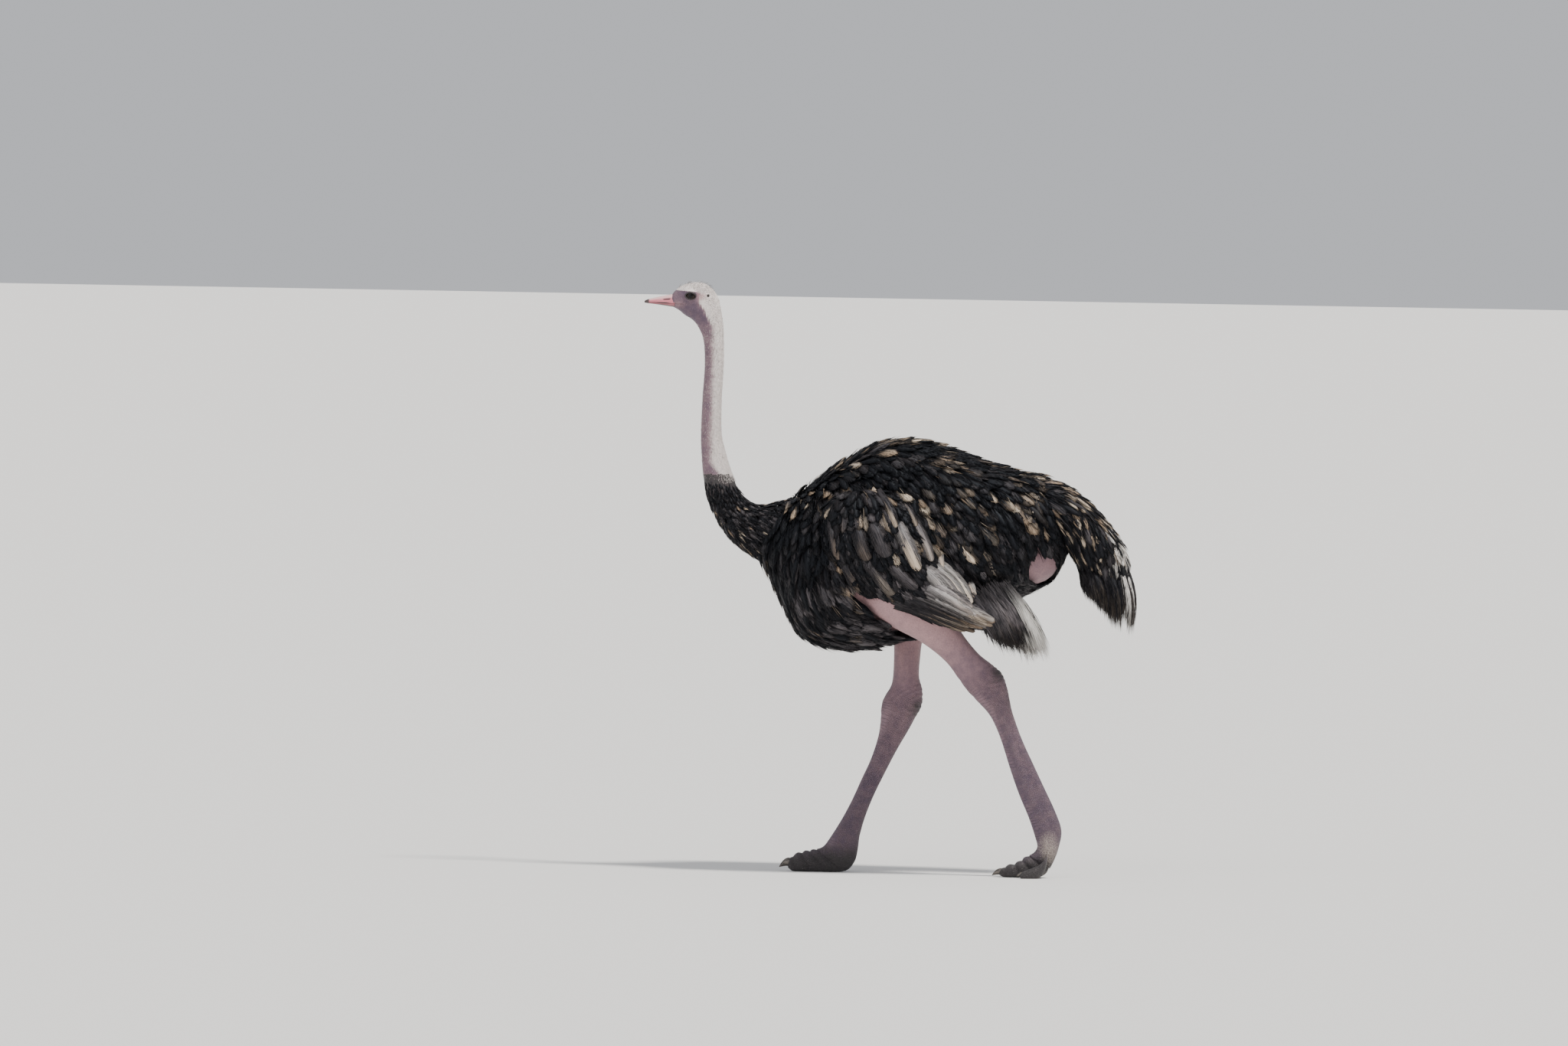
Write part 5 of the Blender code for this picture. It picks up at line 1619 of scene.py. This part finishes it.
class OSTRICH_OT_down(bpy.types.Operator):
    """Short white down of the neck and head, and the bristles of the crown"""

    bl_idname = "ostrich.down"
    bl_label = "Down"

    def execute(self, context):
        sized = sizes()
        finish = down_finish()
        neck, head = Tube(HEAD[-1:] + NECK[:9], insets=0.0016), Tube(HEAD, power=2.15, insets=0.0010)
        space, size = sized.down_spacing, sized.down_length
        self.tufts("down_neck", neck, space, size, 0.0010, 131, finish, 0.0, 0.93)
        self.tufts("down_head", head, space * 0.62, size * 0.75, 0.0008, 151, finish, 0.08, 1.0)
        return {"FINISHED"}

    def tufts(self, name, tube, spacing, size, wide, seed, finish, low, high):
        """Thin locks that lie down the neck, or back over the head, and lift a little at their tips."""

        def lie(points, normal):
            """Down the neck, and backwards over the head."""
            back = smooth(1.74, 1.80, points[:, 2])
            return np.stack([0 * back, 0.12 + 0.95 * back, -0.95 + 0.35 * back], 1)

        u, v = scattered(tube, spacing, seed, low, high)
        rng = np.random.default_rng(seed)
        points = tube.at(u, v)
        white = white_down(points)
        q = np.stack([np.abs(points[:, 0]), points[:, 1], points[:, 2]], 1)
        eye = np.linalg.norm(q - np.array([EYE.x + 0.015, EYE.y, EYE.z]), axis=1)
        ear = np.hypot(points[:, 1] - SHIFT - EAR_Y, points[:, 2] - EAR_Z)
        kept = (rng.random(len(u)) < 0.06 + 0.94 * white) & (eye > 0.023) & (ear > 0.0075)
        u, v, white, points = u[kept], v[kept], white[kept], points[kept]
        crown = smooth(1.838, 1.850, points[:, 2]) * (rng.random(len(u)) < 0.12)
        size = size * rng.uniform(0.6, 1.3, len(u)) * (1 + 1.2 * crown)
        tip = 0.0006 + 0.0012 * rng.random(len(u)) + 0.008 * crown
        coat = laid(tube, u, v, seed, lie, size, 0.0006, tip, 0.30, 4)
        dark = np.where(coat.odds(0.05 + 0.10 * (1 - white) + 0.75 * (crown > 0)), 0.75, 0.0)
        coat.grow(name, "wisp", wide, (dark, 1 - white, 0.0), 0.0004, "down", finish, cup=0.0)


# ---------------------------------------------------------------- stage
class OSTRICH_OT_stage(bpy.types.Operator):
    """A plain pale floor, soft studio light and the camera"""

    bl_idname = "ostrich.stage"
    bl_label = "Stage"

    def execute(self, context):
        floor_finish = Finish("floor", Base_Color=(0.78, 0.77, 0.75, 1.0), Roughness=0.9)
        radius, sides = 1500, 128
        turn = np.linspace(0, 2 * math.pi, sides, endpoint=False)
        ring = np.stack([radius * np.cos(turn), radius * np.sin(turn), 0 * turn], 1)
        points = np.vstack([[[0.0, 0.0, 0.0]], ring])
        index = np.arange(sides)
        faces = np.stack([0 * index, 1 + index, 1 + (index + 1) % sides], 1)
        mesh = bpy.data.meshes.new("floor")
        mesh.from_pydata(points.tolist(), [], faces.tolist())
        mesh.materials.append(floor_finish.material)
        floor = bpy.data.objects.new("floor", mesh)
        context.scene.collection.objects.link(floor)
        world = bpy.data.worlds.new("studio")
        world.use_nodes = True
        sky = world.node_tree.nodes["Background"].inputs
        sky["Color"].default_value = (0.93, 0.95, 1.0, 1.0)
        sky["Strength"].default_value = 0.62
        context.scene.world = world
        self.sun("key", (0.50, 0.62, 1.45), 4.2, 9, (1.0, 0.97, 0.92))
        self.sun("fill", (1.0, -0.55, 0.55), 0.8, 60, (0.95, 0.97, 1.0))
        self.camera(context)
        return {"FINISHED"}

    def sun(self, name, toward, strength, spread, tint):
        """A sun that shines from a direction, wide enough for soft shadows."""
        light = bpy.data.lights.new(name, "SUN")
        light.energy, light.angle, light.color = strength, math.radians(spread), tint
        made = bpy.data.objects.new(name, light)
        made.rotation_mode = "QUATERNION"
        made.rotation_quaternion = Vector(toward).to_track_quat("Z", "Y")
        made.location = Vector(toward) * 5
        bpy.context.scene.collection.objects.link(made)

    def camera(self, context):
        """The side view: far off with a long lens, a little turned about its own axis."""
        lens = bpy.data.cameras.new("camera")
        lens.sensor_width, lens.lens = 36.0, 289.6875
        lens.clip_end = 4000
        made = bpy.data.objects.new("camera", lens)
        distance, height, roll = 40.0, 1.874, 1.0
        target = Vector((0.0, -0.365 + SHIFT, 1.108))
        made.location = (distance, target.y, height)
        direction = target - made.location
        made.rotation_euler = direction.to_track_quat("-Z", "Y").to_euler()
        made.rotation_euler.rotate_axis("Z", math.radians(roll))
        context.scene.collection.objects.link(made)
        context.scene.camera = made


STEPS = (
    ("skin", OSTRICH_OT_skin),
    ("bill", OSTRICH_OT_bill),
    ("eyes", OSTRICH_OT_eyes),
    ("claws", OSTRICH_OT_claws),
    ("body_feathers", OSTRICH_OT_body_feathers),
    ("neck_feathers", OSTRICH_OT_neck_feathers),
    ("wing_feathers", OSTRICH_OT_wing_feathers),
    ("tail_feathers", OSTRICH_OT_tail_feathers),
    ("down", OSTRICH_OT_down),
    ("stage", OSTRICH_OT_stage),
)


class OSTRICH_PT_panel(bpy.types.Panel):
    """Sizes, colours and the steps that build the bird"""

    bl_idname = "OSTRICH_PT_panel"
    bl_label = "Ostrich"
    bl_space_type = "VIEW_3D"
    bl_region_type = "UI"
    bl_category = "Ostrich"

    def draw(self, context):
        for group in (context.scene.ostrich_sizes, context.scene.ostrich_colours):
            box = self.layout.box()
            for name in group.__annotations__:
                box.prop(group, name)
        for name, _ in STEPS:
            self.layout.operator("ostrich." + name)


CLASSES = (OstrichSizes, OstrichColours, *(step for _, step in STEPS), OSTRICH_PT_panel)


def register():
    for made in CLASSES:
        bpy.utils.register_class(made)
    bpy.types.Scene.ostrich_sizes = PointerProperty(type=OstrichSizes)
    bpy.types.Scene.ostrich_colours = PointerProperty(type=OstrichColours)


def unregister():
    del bpy.types.Scene.ostrich_sizes
    del bpy.types.Scene.ostrich_colours
    for made in reversed(CLASSES):
        bpy.utils.unregister_class(made)


def main():
    register()
    for name, _ in STEPS:
        getattr(bpy.ops.ostrich, name)()


if __name__ == "__main__":
    main()
